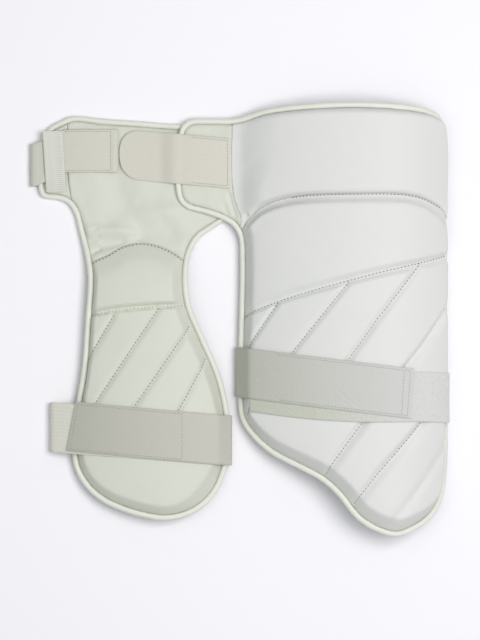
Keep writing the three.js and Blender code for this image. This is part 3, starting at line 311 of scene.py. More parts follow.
@dataclass(frozen=True)
class Arch:
    """One guard's back: two arcs that meet at its crown, onto which flat patterns are bent."""

    left: float
    foot: float
    width: float
    length: float
    rise: float
    crown: float
    waist_level: float
    thigh_level: float
    change_from: float
    change_to: float
    dies_out: bool

    @property
    def crown_x(self) -> float:
        """Where the arch is highest."""
        return self.left + self.crown * self.width

    def spans(self, offset: np.ndarray) -> tuple[np.ndarray, np.ndarray]:
        """The arc's radius and span on each point's side."""
        left, right = self.crown * self.width, (1 - self.crown) * self.width
        span = np.where(offset < 0, left, right)
        return (span ** 2 + self.rise ** 2) / (2 * self.rise), span

    def x(self, across: float | np.ndarray) -> float | np.ndarray:
        """The place across of a share of the width."""
        return self.left + across * self.width

    def y(self, up: float | np.ndarray) -> float | np.ndarray:
        """The place along of a share of the length."""
        return self.foot + up * self.length

    def plan(self, rows: Sequence[Row]) -> np.ndarray:
        """Places in plan of rows of shares."""
        table = np.array(rows, float).reshape(-1, 2)
        return np.column_stack([self.x(table[:, 0]), self.y(table[:, 1])])

    def pattern(self, rows: Sequence[Row]) -> np.ndarray:
        """Places in the flat pattern of rows of shares."""
        return self.unrolled(self.plan(rows))

    def unrolled(self, plan: np.ndarray) -> np.ndarray:
        """Places in the flat pattern of places in plan."""
        offset = plan[:, 0] - self.crown_x
        radius, span = self.spans(offset)
        inside = np.minimum(np.abs(offset), span)
        along = np.sign(offset) * (radius * np.arcsin(inside / radius) + np.abs(offset) - inside)
        return np.column_stack([along, plan[:, 1]])

    def roll(self, along: np.ndarray) -> np.ndarray:
        """The place across of a distance along the back from its crown."""
        radius, span = self.spans(along)
        whole = radius * np.arcsin(span / radius)
        inside = np.minimum(np.abs(along), whole)
        return self.crown_x + np.sign(along) * (radius * np.sin(inside / radius) + np.abs(along) - inside)

    def base(self, x: np.ndarray, y: np.ndarray) -> np.ndarray:
        """The height of the back over the surface that the set lies on."""
        offset = x - self.crown_x
        radius, span = self.spans(offset)
        inside = np.minimum(np.abs(offset), span)
        slope = span / np.sqrt(radius ** 2 - span ** 2)
        arch = self.rise - (radius - np.sqrt(radius ** 2 - inside ** 2)) - (np.abs(offset) - inside) * slope
        up = (y - self.foot) / self.length
        change = smoothstep(up, self.change_from, self.change_to)
        if self.dies_out:
            return self.thigh_level + (EDGE_LIFT + arch) * (1 - change)
        level = -self.waist_level + 2 * self.waist_level * change
        lifted = REST + EDGE_LIFT + arch
        return (level + lifted + np.hypot(level - lifted, 5 * change)) / 2

    def place(self, flat: np.ndarray, height: np.ndarray | float) -> np.ndarray:
        """Bends points of the flat pattern onto the back.

        Args:
            flat: places in the pattern.
            height: how far each stands over the back.

        Returns:
            Points in space, in millimetres.
        """
        x, y, step = self.roll(flat[:, 0]), flat[:, 1], 0.5
        slope_x = (self.base(x + step, y) - self.base(x - step, y)) / (2 * step)
        slope_y = (self.base(x, y + step) - self.base(x, y - step)) / (2 * step)
        normal = np.column_stack([-slope_x, -slope_y, np.ones(len(x))])
        normal /= np.linalg.norm(normal, axis=1)[:, None]
        return np.column_stack([x, y, self.base(x, y)]) + normal * np.broadcast_to(height, len(x))[:, None]


OUTER = Arch(0.0, OUTER_FOOT, 201.0, 428.0, 34.0, 0.675, WING_LEVEL, REST, 0.62, 0.72, False)
INNER = Arch(-GUARD_SPACING, INNER_FOOT, 152.0, 400.0, 13.0, 0.55, REST, REST, 0.55, 0.74, True)


def frame_offset() -> np.ndarray:
    """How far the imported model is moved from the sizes' own origin, read from the hook patch's right end."""
    low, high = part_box("waist_hook_patch")
    right, middle = INNER.x(WAIST_END_ACROSS) - PATCH_INSET, INNER.y(WAIST_STRAP_UP)
    return np.array([high.x / MM - right, (low.y + high.y) / 2 / MM - middle, 0.0])


OFFSET = frame_offset()


class Thread(Enum):
    """How a row of stitches is sewn."""

    QUILTING = "quilting"
    EDGING = "edging"


@dataclass(frozen=True)
class Stitching:
    """The sizes of one kind of stitch, and of the hole that its needle leaves."""

    length: float
    gap: float
    thickness: float
    lift: float
    hole: float


STITCHES = {
    Thread.QUILTING: Stitching(length=2.3, gap=1.4, thickness=0.6, lift=0.3, hole=0.62),
    Thread.EDGING: Stitching(length=2.2, gap=1.1, thickness=0.5, lift=0.15, hole=0.32),
}


ADD = {"operation": "ADD"}
MULTIPLY = {"operation": "MULTIPLY"}
MULTIPLY_ADD = {"operation": "MULTIPLY_ADD"}
BLEND = {"data_type": "RGBA"}


def add_node(
    material: bpy.types.Material, kind: str, settings: dict | None = None, **links: object,
) -> bpy.types.Node:
    """Adds one shader node with its settings and links.

    Args:
        material: the material whose tree it joins.
        kind: the node's type.
        settings: properties of the node by name.
        links: inputs by name with underscores for spaces, or as i0, i1 by place: a value or an output socket.

    Returns:
        The new node.
    """
    node = material.node_tree.nodes.new(kind)
    for name, value in (settings or {}).items():
        setattr(node, name, value)
    for name, value in links.items():
        place = int(name[1:]) if name[0] == "i" and name[1:].isdigit() else name.replace("_", " ")
        socket = node.inputs[place]
        if isinstance(value, bpy.types.NodeSocket):
            material.node_tree.links.new(value, socket)
        else:
            socket.default_value = value
    return node


def blank_material(name: str) -> tuple[bpy.types.Material, bpy.types.Node]:
    """A new node material and its shader."""
    material = bpy.data.materials.new(name)
    material.use_nodes = True
    return material, material.node_tree.nodes["Principled BSDF"]


def wire(
    material: bpy.types.Material, shader: bpy.types.Node, colour: bpy.types.Node, bump: bpy.types.Node,
) -> None:
    """Links a mixed colour and a bump to a material's shader."""
    links = material.node_tree.links
    links.new(colour.outputs[2], shader.inputs["Base Color"])
    links.new(bump.outputs[0], shader.inputs["Normal"])


@dataclass(frozen=True)
class CoatedLeather:
    """Polyurethane-coated cloth, embossed with a fine grain.

    The coat gives an even, slightly waxy white with broad soft highlights, and the grain breaks them up.
    """

    name: str
    colour: int
    hollow_colour: int
    roughness: float = 0.58
    grain_mm: float = 0.9
    grain_depth: float = 0.12

    def make(self) -> bpy.types.Material:
        """Builds the material."""
        material, shader = blank_material(self.name)
        place = add_node(material, "ShaderNodeTexCoord").outputs["Object"]
        clouds = add_node(material, "ShaderNodeTexNoise", Vector=place, Scale=1 / (60 * MM), Detail=3.0)
        colour = add_node(
            material, "ShaderNodeMix", BLEND, Factor=clouds.outputs["Fac"],
            i6=linear(self.hollow_colour), i7=linear(self.colour),
        )
        grain = add_node(
            material, "ShaderNodeTexVoronoi", {"feature": "SMOOTH_F1"}, Vector=place,
            Scale=1 / (self.grain_mm * MM), Smoothness=0.6,
        )
        pores = add_node(material, "ShaderNodeTexNoise", Vector=place, Scale=1 / (2.6 * MM), Detail=4.0)
        relief = add_node(
            material, "ShaderNodeMath", ADD, i0=grain.outputs["Distance"],
            i1=pores.outputs["Fac"],
        )
        bump = add_node(
            material, "ShaderNodeBump", Height=relief.outputs[0], Strength=self.grain_depth, Distance=0.0006,
        )
        gloss = add_node(
            material, "ShaderNodeMapRange", Value=clouds.outputs["Fac"], To_Min=self.roughness - 0.05,
            To_Max=self.roughness + 0.07,
        )
        wire(material, shader, colour, bump)
        material.node_tree.links.new(gloss.outputs[0], shader.inputs["Roughness"])
        shader.inputs["IOR"].default_value = 1.46
        return material


@dataclass(frozen=True)
class Tape:
    """What every narrow fabric shares: a colour that drifts from end to end as painted shade, darker where the
    band lies in less light, and relief shaded into it.
    """

    name: str
    colour: int
    far_colour: int
    fade_mm: tuple[float, float] = field(default=(0.0, 170.0), kw_only=True)

    def with_painted_shade(self, material: bpy.types.Material, along: object, shade: object) -> bpy.types.Node:
        """The fabric's colour, with painted shade drifting from end to end.

        Args:
            material: the material whose tree it joins.
            along: the distance along the fabric in millimetres.
            shade: how dark its relief is drawn.

        Returns:
            The node whose colour goes to the shader.
        """
        # Painted shade: the colour moves from one end's to the other's as the light on the band falls off along
        # it.
        fade = add_node(
            material, "ShaderNodeMapRange", Value=along, From_Min=self.fade_mm[0], From_Max=self.fade_mm[1],
        )
        painted_falloff = add_node(
            material, "ShaderNodeMix", BLEND, Factor=fade.outputs[0], i6=linear(self.colour),
            i7=linear(self.far_colour),
        )
        return add_node(
            material, "ShaderNodeMix", {"data_type": "RGBA", "blend_type": "MULTIPLY"}, Factor=1.0,
            i6=painted_falloff.outputs[2], i7=shade,
        )


@dataclass(frozen=True)
class WovenTape(Tape):
    """Woven polyester tape: ribs across it and, for elastic, the slow drift of its rubber threads.

    The ribs give a matt face with fine lines. Real ribs are finer than a pixel and show as wide slanting
    beats, so the beats are drawn as coarse, faint stripes of their own.
    """

    rib_mm: float
    rib_across: float
    depth: float
    drift: float = 0.0
    rib_shade: float = 0.9
    roughness: float = 0.82
    beat: float = 0.0
    beat_mm: float = 4.4
    beat_slope: float = -1.2

    def make(self) -> bpy.types.Material:
        """Builds the material."""
        material, shader = blank_material(self.name)
        place = add_node(material, "ShaderNodeUVMap", {"uv_map": "lay"}).outputs[0]
        parts = add_node(material, "ShaderNodeSeparateXYZ", Vector=place)
        bend = add_node(material, "ShaderNodeTexNoise", Vector=place, Scale=1 / 38, Detail=2.0)
        swing = add_node(material, "ShaderNodeMath", MULTIPLY, i0=bend.outputs["Fac"], i1=self.drift)
        ribs = self.stripes(material, parts.outputs["X"], swing.outputs[0], self.rib_mm)
        threads = self.stripes(material, parts.outputs["Y"], swing.outputs[0], self.rib_mm * self.rib_across)
        weave = add_node(material, "ShaderNodeMath", MULTIPLY, i0=ribs, i1=threads)
        fuzz = add_node(material, "ShaderNodeTexNoise", Vector=place, Scale=1 / 1.1, Detail=3.0)
        height = add_node(
            material, "ShaderNodeMath", MULTIPLY_ADD, i0=fuzz.outputs["Fac"], i1=0.5,
            i2=weave.outputs[0],
        )
        bump = add_node(
            material, "ShaderNodeBump", Height=height.outputs[0], Strength=self.depth, Distance=0.0005,
        )
        shade = add_node(
            material, "ShaderNodeMapRange", Value=weave.outputs[0], To_Min=self.rib_shade, To_Max=1.0,
        )
        slanted = add_node(
            material, "ShaderNodeMath", MULTIPLY_ADD, i0=parts.outputs["Y"], i1=self.beat_slope,
            i2=parts.outputs["X"],
        )
        swirl = add_node(material, "ShaderNodeMath", MULTIPLY, i0=bend.outputs["Fac"], i1=30.0)
        moire = self.stripes(material, slanted.outputs[0], swirl.outputs[0], self.beat_mm)
        beats = add_node(material, "ShaderNodeMapRange", Value=moire, To_Min=1 - self.beat, To_Max=1.0)
        shaded = add_node(
            material, "ShaderNodeMath", MULTIPLY, i0=shade.outputs[0], i1=beats.outputs[0],
        )
        wire(material, shader, self.with_painted_shade(material, parts.outputs["X"], shaded.outputs[0]), bump)
        shader.inputs["Roughness"].default_value = self.roughness
        shader.inputs["IOR"].default_value = 1.5
        return material

    @staticmethod
    def stripes(
        material: bpy.types.Material, along: object, swing: object, pitch: float,
    ) -> bpy.types.NodeSocket:
        """Soft stripes of a pitch in millimetres along one direction."""
        moved = add_node(material, "ShaderNodeMath", ADD, i0=along, i1=swing)
        turned = add_node(
            material, "ShaderNodeMath", MULTIPLY, i0=moved.outputs[0], i1=2 * math.pi / pitch,
        )
        wave = add_node(material, "ShaderNodeMath", {"operation": "SINE"}, i0=turned.outputs[0])
        share = add_node(material, "ShaderNodeMapRange", Value=wave.outputs[0], From_Min=-1.0, From_Max=1.0)
        return share.outputs[0]


@dataclass(frozen=True)
class LoopPile(Tape):
    """Knitted or brushed pile.

    Tiny loops give a mottled matt face with a soft pale edge.
    """

    loop_mm: float
    depth: float = 0.35
    mottle: float = 0.93

    def make(self) -> bpy.types.Material:
        """Builds the material."""
        material, shader = blank_material(self.name)
        place = add_node(material, "ShaderNodeUVMap", {"uv_map": "lay"}).outputs[0]
        parts = add_node(material, "ShaderNodeSeparateXYZ", Vector=place)
        loops = add_node(material, "ShaderNodeTexVoronoi", Vector=place, Scale=1 / self.loop_mm)
        patches = add_node(
            material, "ShaderNodeTexNoise", Vector=place, Scale=1 / (self.loop_mm * 3.5), Detail=4.0,
        )
        mottle = add_node(
            material, "ShaderNodeMapRange", Value=patches.outputs["Fac"], From_Min=0.35, From_Max=0.65,
            To_Min=self.mottle, To_Max=1.0,
        )
        relief = add_node(
            material, "ShaderNodeMath", {"operation": "SUBTRACT"}, i0=patches.outputs["Fac"],
            i1=loops.outputs["Distance"],
        )
        bump = add_node(
            material, "ShaderNodeBump", Height=relief.outputs[0], Strength=self.depth, Distance=0.0007,
        )
        wire(material, shader, self.with_painted_shade(material, parts.outputs["X"], mottle.outputs[0]), bump)
        shader.inputs["Roughness"].default_value = 0.92
        shader.inputs["Sheen Weight"].default_value = 0.15
        return material


@dataclass(frozen=True)
class SpunThread:
    """Bonded polyester sewing thread, which sits in its stitch holes and reads as small grey dashes."""

    name: str
    colour: int

    def make(self) -> bpy.types.Material:
        """Builds the material."""
        material, shader = blank_material(self.name)
        place = add_node(material, "ShaderNodeTexCoord").outputs["Object"]
        twist = add_node(material, "ShaderNodeTexNoise", Vector=place, Scale=1 / (0.5 * MM), Detail=2.0)
        colour = add_node(
            material, "ShaderNodeMix", BLEND, Factor=twist.outputs["Fac"], i6=linear(self.colour),
            i7=linear(min(self.colour + 0x181818, 0xFFFFFF)),
        )
        material.node_tree.links.new(colour.outputs[2], shader.inputs["Base Color"])
        shader.inputs["Roughness"].default_value = 0.7
        return material


@dataclass(frozen=True)
class KnitLining:
    """Warp-knitted polyester lining, soft and open, on the side that meets the leg."""

    name: str
    colour: int
    hole_colour: int = 0xB4B5AE
    hole_mm: float = 2.4

    def make(self) -> bpy.types.Material:
        """Builds the material."""
        material, shader = blank_material(self.name)
        place = add_node(material, "ShaderNodeTexCoord").outputs["Object"]
        holes = add_node(
            material, "ShaderNodeTexVoronoi", Vector=place, Scale=1 / (self.hole_mm * MM), Randomness=0.25,
        )
        open_share = add_node(
            material, "ShaderNodeMapRange", Value=holes.outputs["Distance"], From_Min=0.1, From_Max=0.45,
        )
        colour = add_node(
            material, "ShaderNodeMix", BLEND, Factor=open_share.outputs[0],
            i6=linear(self.hole_colour), i7=linear(self.colour),
        )
        bump = add_node(material, "ShaderNodeBump", Height=open_share.outputs[0], Strength=0.5, Distance=0.0008)
        wire(material, shader, colour, bump)
        shader.inputs["Roughness"].default_value = 0.95
        return material


@dataclass
class Finishes:
    """Every material of the set, made once."""

    white_cover: bpy.types.Material = field(init=False)
    ivory_cover: bpy.types.Material = field(init=False)
    piping: bpy.types.Material = field(init=False)
    outer_elastic: bpy.types.Material = field(init=False)
    inner_elastic: bpy.types.Material = field(init=False)
    waist_elastic: bpy.types.Material = field(init=False)
    loop_pile: bpy.types.Material = field(init=False)
    slack_loop: bpy.types.Material = field(init=False)
    hook_tape: bpy.types.Material = field(init=False)
    webbing: bpy.types.Material = field(init=False)
    quilting_thread: bpy.types.Material = field(init=False)
    edging_thread: bpy.types.Material = field(init=False)
    hole_shade: bpy.types.Material = field(init=False)
    lining: bpy.types.Material = field(init=False)

    def __post_init__(self) -> None:
        """Makes the materials."""
        self.white_cover = CoatedLeather("polyurethane_coated_cloth_white", 0xE0E0DE, 0xDCDDD9).make()
        self.ivory_cover = CoatedLeather("polyurethane_coated_cloth_ivory", 0xD9DBD0, 0xD2D5C8, 0.6).make()
        self.piping = CoatedLeather(
            "polyurethane_coated_cloth_folded", 0xEAEBE1, 0xDDDFD3, 0.5, 1.0, 0.16,
        ).make()
        # The tapes' near and far colours paint how the light on each band changes from end to end.
        self.outer_elastic = WovenTape(
            "polyester_elastic_woven", 0xD6D6D4, 0xC4C6BA, 1.25, 1.7, 0.4, 2.4, rib_shade=0.94, beat=0.05,
        ).make()
        self.inner_elastic = WovenTape(
            "polyester_elastic_woven_inner", 0xC0C0B4, 0xD0CFC5, 1.25, 1.7, 0.4, 2.4, rib_shade=0.94, beat=0.05,
            beat_slope=1.2,
        ).make()
        self.waist_elastic = WovenTape(
            "polyester_elastic_woven_waist", 0xDEDDD1, 0xCECEC2, 1.15, 1.6, 0.4, 1.6,
        ).make()
        self.loop_pile = LoopPile(
            "nylon_loop_tape_knitted", 0xDADAD8, 0xC9CCBE, 0.9, fade_mm=(75.0, 190.0),
        ).make()
        self.slack_loop = WovenTape("nylon_loop_tape_woven_back", 0xE5E4D8, 0xE5E4D8, 1.5, 2.4, 0.6).make()
        self.hook_tape = LoopPile("nylon_hook_tape_brushed_back", 0xD9D5CA, 0xD3D2C6, 0.7, 0.2, 0.965).make()
        self.webbing = WovenTape(
            "polyester_webbing_ribbed", 0xE8E9DF, 0xE1E2D7, 1.9, 9.0, 0.9, rib_shade=0.84,
        ).make()
        self.quilting_thread = SpunThread("polyester_thread_bonded", 0xB9BAB5).make()
        self.edging_thread = SpunThread("polyester_thread_bonded_fine", 0xB4B4A8).make()
        # Painted shade: a dark grey for the inside of each needle hole.
        self.hole_shade = SpunThread("shaded_needle_hole", 0x5E605B).make()
        self.lining = KnitLining("polyester_warp_knit", 0xD2D3CD).make()


def make_mesh(
    name: str,
    points: np.ndarray,
    faces: Sequence[Sequence[int]],
    material: bpy.types.Material,
    lay: np.ndarray | None = None,
    sharp_degrees: float = 180.0,
) -> bpy.types.Object:
    """Makes one object from points in millimetres.

    Args:
        name: the piece's name.
        points: its points, in the sizes' own origin.
        faces: its faces by point numbers.
        material: its finish.
        lay: how it lies in its own cloth, in millimetres, one row a point.
        sharp_degrees: edges that turn more than this are drawn sharp.

    Returns:
        The new object.
    """
    mesh = bpy.data.meshes.new(name)
    mesh.from_pydata(((points + OFFSET) * MM).tolist(), [], [list(map(int, f)) for f in faces])
    mesh.validate()
    if lay is not None:
        corners = np.zeros(len(mesh.loops), np.int32)
        mesh.loops.foreach_get("vertex_index", corners)
        mesh.uv_layers.new(name="lay").data.foreach_set("uv", lay[corners].astype(np.float32).ravel())
    mesh.shade_smooth()
    if sharp_degrees < 180:
        mesh.set_sharp_from_angle(angle=math.radians(sharp_degrees))
    mesh.materials.append(material)
    made = bpy.data.objects.new(name, mesh)
    bpy.context.scene.collection.objects.link(made)
    return made


def finish_piece(piece: bpy.types.Object, slot: str, *nodes: str) -> bpy.types.Object:
    """Rides a piece on the set, hides the solids that it stands for, and reports it."""
    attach(piece, "root")
    if nodes:
        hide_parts(*nodes)
    LOG.info("%s: %d points, %d faces", piece.name, len(piece.data.vertices), len(piece.data.polygons))
    return piece


def frame_at(spot: float, along: np.ndarray, path: np.ndarray, normals: np.ndarray) -> tuple[np.ndarray, ...]:
    """The place on a sewn line at a distance along it, and the directions ahead, outward and sideways there."""
    centre = np.array([np.interp(spot, along, path[:, k]) for k in range(3)])
    ahead = np.array([np.interp(spot + 0.3, along, path[:, k]) for k in range(3)]) - centre
    up = np.array([np.interp(spot, along, normals[:, k]) for k in range(3)])
    ahead /= max(np.linalg.norm(ahead), 1e-6)
    return centre, ahead, up, np.cross(ahead, up)


def stitch_row(path: np.ndarray, normals: np.ndarray, kind: Stitching) -> tuple[np.ndarray, list[list[int]]]:
    """A row of short, rounded stitches.

    Args:
        path: points of the sewn line in space, close together.
        normals: the cloth's outward direction at each.
        kind: the stitches' sizes.

    Returns:
        Points and faces of all the stitches.
    """
    along = lengths_along(path)
    pitch = kind.length + kind.gap
    shares = ((-0.5, 0.35), (-0.36, 0.9), (0.0, 1.0), (0.36, 0.9), (0.5, 0.35))
    sides = 6
    points: list[np.ndarray] = []
    faces: list[list[int]] = []
    for i in range(int(along[-1] / pitch)):
        middle = (i + 0.5) * pitch
        first = len(points)
        for share, width in shares:
            spot = middle + share * kind.length
            centre, _, up, side = frame_at(spot, along, path, normals)
            side /= max(np.linalg.norm(side), 1e-6)
            dip = 0.35 * (2 * abs(share)) ** 2
            for k in range(sides):
                angle = 2 * math.pi * k / sides
                reach = kind.thickness / 2 * width
                rise = math.sin(angle) * reach + kind.lift - dip
                points.append(centre + side * math.cos(angle) * reach + up * rise)
        for ring in range(len(shares) - 1):
            for k in range(sides):
                a, b = first + ring * sides + k, first + ring * sides + (k + 1) % sides
                faces.append([a, b, b + sides, a + sides])
        faces.append([first + k for k in range(sides)][::-1])
        faces.append([first + (len(shares) - 1) * sides + k for k in range(sides)])
    return np.array(points).reshape(-1, 3), faces


def hole_row(path: np.ndarray, normals: np.ndarray, kind: Stitching) -> tuple[np.ndarray, list[list[int]]]:
    """The needle holes between a row's stitches, as small dimples whose dark colour paints the shade inside
    each hole.

    Args:
        path: points of the sewn line in space, close together.
        normals: the cloth's outward direction at each.
        kind: the stitches' sizes.

    Returns:
        Points and faces of all the holes.
    """
    along = lengths_along(path)
    pitch = kind.length + kind.gap
    sides = 8
    points: list[np.ndarray] = []
    faces: list[list[int]] = []
    for i in range(int(along[-1] / pitch) + 1):
        centre, ahead, up, side = frame_at(i * pitch, along, path, normals)
        first = len(points)
        for k in range(sides):
            angle = 2 * math.pi * k / sides
            reach = ahead * (math.cos(angle) * kind.hole * 1.15) + side * (math.sin(angle) * kind.hole)
            points.append(centre + reach + up * (kind.lift + 0.12))
        points.append(centre + up * kind.lift)
        faces.extend([first + (k + 1) % sides, first + k, first + sides] for k in range(sides))
    return np.array(points).reshape(-1, 3), faces


@dataclass
class Seams:
    """All rows of stitches of one kind, gathered into one piece, and the painted shade of their needle holes
    into another.
    """

    kind: Thread
    points: list[np.ndarray] = field(default_factory=list)
    faces: list[list[int]] = field(default_factory=list)
    hole_points: list[np.ndarray] = field(default_factory=list)
    hole_faces: list[list[int]] = field(default_factory=list)

    def sew(self, path: np.ndarray, normals: np.ndarray) -> None:
        """Adds one row of stitches along a path in space."""
        if len(path) < 2:
            return
        self.add(self.points, self.faces, *stitch_row(path, normals, STITCHES[self.kind]))
        self.add(self.hole_points, self.hole_faces, *hole_row(path, normals, STITCHES[self.kind]))

    @staticmethod
    def add(
        kept: list[np.ndarray], kept_faces: list[list[int]], points: np.ndarray, faces: list[list[int]],
    ) -> None:
        """Adds a row's points and faces to those of a piece."""
        count = sum(len(p) for p in kept)
        kept_faces.extend([[index + count for index in f] for f in faces])
        kept.append(points)

    def make(self, thread: bpy.types.Material, shade: bpy.types.Material) -> None:
        """Builds the stitches and the dark discs that paint the shade in their holes."""
        name = self.kind.value
        finish_piece(make_mesh(f"{name}_stitches", np.vstack(self.points), self.faces, thread), "webbing")
        holes = make_mesh(f"{name}_needle_hole_shadows", np.vstack(self.hole_points), self.hole_faces, shade)
        finish_piece(holes, "webbing")


@dataclass(frozen=True)
class Channel:
    """One sewn channel of a pad, as shares of its guard, with a soft bank on each side of its line."""

    rows: tuple[Row, ...]
    depth: float = 3.0
    left_bank: tuple[float, float] = (6.5, 6.5)
    right_bank: tuple[float, float] = (5.0, 5.0)
    fullness: float = 2.0
    stitched: tuple[float, float] = (0.0, 1.0)
    floor: float = 0.5

    def line(self, arch: Arch) -> np.ndarray:
        """The channel's line in the flat pattern."""
        knots = arch.pattern(self.rows)
        return spline(knots, False, 2.0) if len(self.rows) > 2 else knots

    def banks(self, share: np.ndarray) -> tuple[np.ndarray, np.ndarray]:
        """How wide the left and the right bank are at shares of the line."""
        ends = (self.left_bank, self.right_bank)
        left, right = (first + (last - first) * share for first, last in ends)
        return left, right

    def press(self, flat: np.ndarray, arch: Arch) -> tuple[np.ndarray, np.ndarray]:
        """How deep the channel presses each point, and the side of it that the point lies on."""
        away, side, share = beside(flat, self.line(arch))
        bank = np.where(side > 0, *self.banks(share))
        near = np.clip(1 - np.maximum(away - self.floor, 0) / (bank - self.floor), 0, 1)
        return self.depth * near ** self.fullness, side

    def features(self, arch: Arch) -> list[np.ndarray]:
        """The lines along which a sheet's points lie: the sewn line, and the banks' edges where crisp."""
        line = resample(self.line(arch), 2.0)
        if self.fullness > 1.6:
            return [line]
        ahead = np.gradient(line, axis=0)
        side = np.column_stack([-ahead[:, 1], ahead[:, 0]]) / np.linalg.norm(ahead, axis=1)[:, None]
        left, right = self.banks(np.linspace(0, 1, len(line)))
        return [line, line + side * left[:, None], line - side * right[:, None]]


@dataclass
class Sheet:
    """A padded panel: a face with its relief, a back, and a wall between them."""

    name: str
    arch: Arch
    outline: np.ndarray
    height: Relief
    features: list[np.ndarray] = field(default_factory=list)
    spacing: float = SHEET_SPACING
    gap: float = 0.06

    def __post_init__(self) -> None:
        """Spreads the panel's points."""
        ring = even_ring(self.outline, self.spacing)
        self.ring = ring + inward(ring) * self.gap
        self.flat, self.triangles = self.spread()
        self.depth = distance_to(self.flat, self.ring, closed=True)
        self.heights = self.height(self.flat, self.depth)
        self.swell: Spread | None = None

    def settle(self, swell: Spread) -> None:
        """Takes the swelling of the simulated copy over to the face."""
        self.swell = swell
        self.heights = self.heights + swell(self.flat)

    def spread(self) -> tuple[np.ndarray, np.ndarray]:
        """Points inside the outline, crisp along the features, and the triangles between them."""
        low, high = self.ring.min(0), self.ring.max(0)
        rows = np.arange(low[1], high[1], self.spacing * 0.866)
        inner = np.vstack([self.grid_row(low[0], high[0], y, i) for i, y in enumerate(rows)])
        inner = inner[points_inside(inner, self.ring)]
        inner = inner[distance_to(inner, self.ring, closed=True) > self.spacing * 0.7]
        lines = [resample(f, self.spacing * 0.9) for f in self.features]
        kept: list[np.ndarray] = []
        creases: list[tuple[int, int]] = []
        count = len(self.ring)
        for line in lines:
            line = line[points_inside(line, self.ring)]
            if len(line) == 0:
                continue
            line = line[distance_to(line, self.ring, closed=True) > self.spacing * 0.5]
            if kept and len(line):
                near = nearest_distance(line, np.vstack(kept))
                line = line[near > self.spacing * 0.45]
            if len(line):
                kept.append(line)
                steps = np.linalg.norm(np.diff(line, axis=0), axis=1)
                short = np.flatnonzero(steps < self.spacing * 1.5)
                creases.extend((count + int(i), count + int(i) + 1) for i in short)
                count += len(line)
        if kept:
            crisp = np.vstack(kept)
            inner = inner[nearest_distance(inner, crisp) > self.spacing * 0.62]
            inner = np.vstack([crisp, inner])
        everything = np.vstack([self.ring, inner])
        outline_face = [list(range(len(self.ring)))]
        made = delaunay_2d_cdt([Vector(p) for p in everything], creases, outline_face, 1, 1e-4)
        points = np.array([tuple(p) for p in made[0]])
        return points, np.array([list(f) for f in made[2]])

    def grid_row(self, low: float, high: float, y: float, number: int) -> np.ndarray:
        """One row of a grid of even triangles."""
        across = np.arange(low + (number % 2) * self.spacing / 2, high, self.spacing)
        return np.column_stack([across, np.full(len(across), y)])

    def make(self, material: bpy.types.Material, lining: bpy.types.Material) -> bpy.types.Object:
        """Builds the panel with its face, its wall and its back."""
        count = len(self.flat)
        wall_ring = border_of(self.triangles)
        face = self.arch.place(self.flat, self.heights)
        back = self.arch.place(self.flat, 0.0)
        border, rise = self.flat[wall_ring], self.heights[wall_ring]
        walls = [self.arch.place(border, rise * share) for share in WALL_LEVELS]
        points = np.vstack([face, back, *walls])
        faces = [list(f) for f in self.triangles]
        tops = len(faces)
        faces += [[count + c, count + b, count + a] for a, b, c in self.triangles]
        backs = len(faces)
        size = len(wall_ring)
        levels = [[count + i for i in wall_ring]]
        levels += [[2 * count + k * size + i for i in range(size)] for k in range(len(WALL_LEVELS))]
        levels.append(list(wall_ring))
        for lower, upper in zip(levels, levels[1:]):
            for i in range(size):
                j = (i + 1) % size
                faces.append([lower[i], lower[j], upper[j], upper[i]])
        piece = make_mesh(self.name, points, faces, material)
        piece.data.materials.append(lining)
        slots = np.zeros(len(piece.data.polygons), np.int32)
        slots[tops:backs] = 1
        piece.data.polygons.foreach_set("material_index", slots)
        return piece

    def sample(self, flat: np.ndarray) -> np.ndarray:
        """The face's height at places of the pattern."""
        height = self.height(flat, distance_to(flat, self.ring, closed=True))
        return height if self.swell is None else height + self.swell(flat)

    def on_face(self, flat: np.ndarray) -> tuple[np.ndarray, np.ndarray]:
        """Points on the face over places of the pattern, and the outward directions there."""
        height = self.sample(flat)
        spots = self.arch.place(flat, height)
        return spots, self.arch.place(flat, height + 1.0) - spots


def points_inside(points: np.ndarray, ring: np.ndarray) -> np.ndarray:
    """Which points lie inside a closed outline."""
    inside = np.zeros(len(points), bool)
    for a, b in zip(ring, np.roll(ring, -1, axis=0)):
        crosses = (a[1] > points[:, 1]) != (b[1] > points[:, 1])
        if a[1] != b[1]:
            across = a[0] + (points[:, 1] - a[1]) * (b[0] - a[0]) / (b[1] - a[1])
            inside ^= crosses & (points[:, 0] < across)
    return inside


def plane_tree(points: np.ndarray) -> KDTree:
    """Some places of the pattern, sorted for finding the nearest."""
    tree = KDTree(len(points))
    for i, p in enumerate(points):
        tree.insert((p[0], p[1], 0.0), i)
    tree.balance()
    return tree


def nearest_distance(points: np.ndarray, others: np.ndarray) -> np.ndarray:
    """How far each point is from the nearest of some others."""
    tree = plane_tree(others)
    return np.array([tree.find((p[0], p[1], 0.0))[2] for p in points])


def border_of(triangles: np.ndarray) -> list[int]:
    """The point numbers round a sheet's border, counterclockwise."""
    directed = {(int(a), int(b)) for t in triangles for a, b in ((t[0], t[1]), (t[1], t[2]), (t[2], t[0]))}
    border = {a: b for a, b in directed if (b, a) not in directed}
    start = next(iter(border))
    ring = [start]
    while border[ring[-1]] != start:
        ring.append(border[ring[-1]])
    return ring


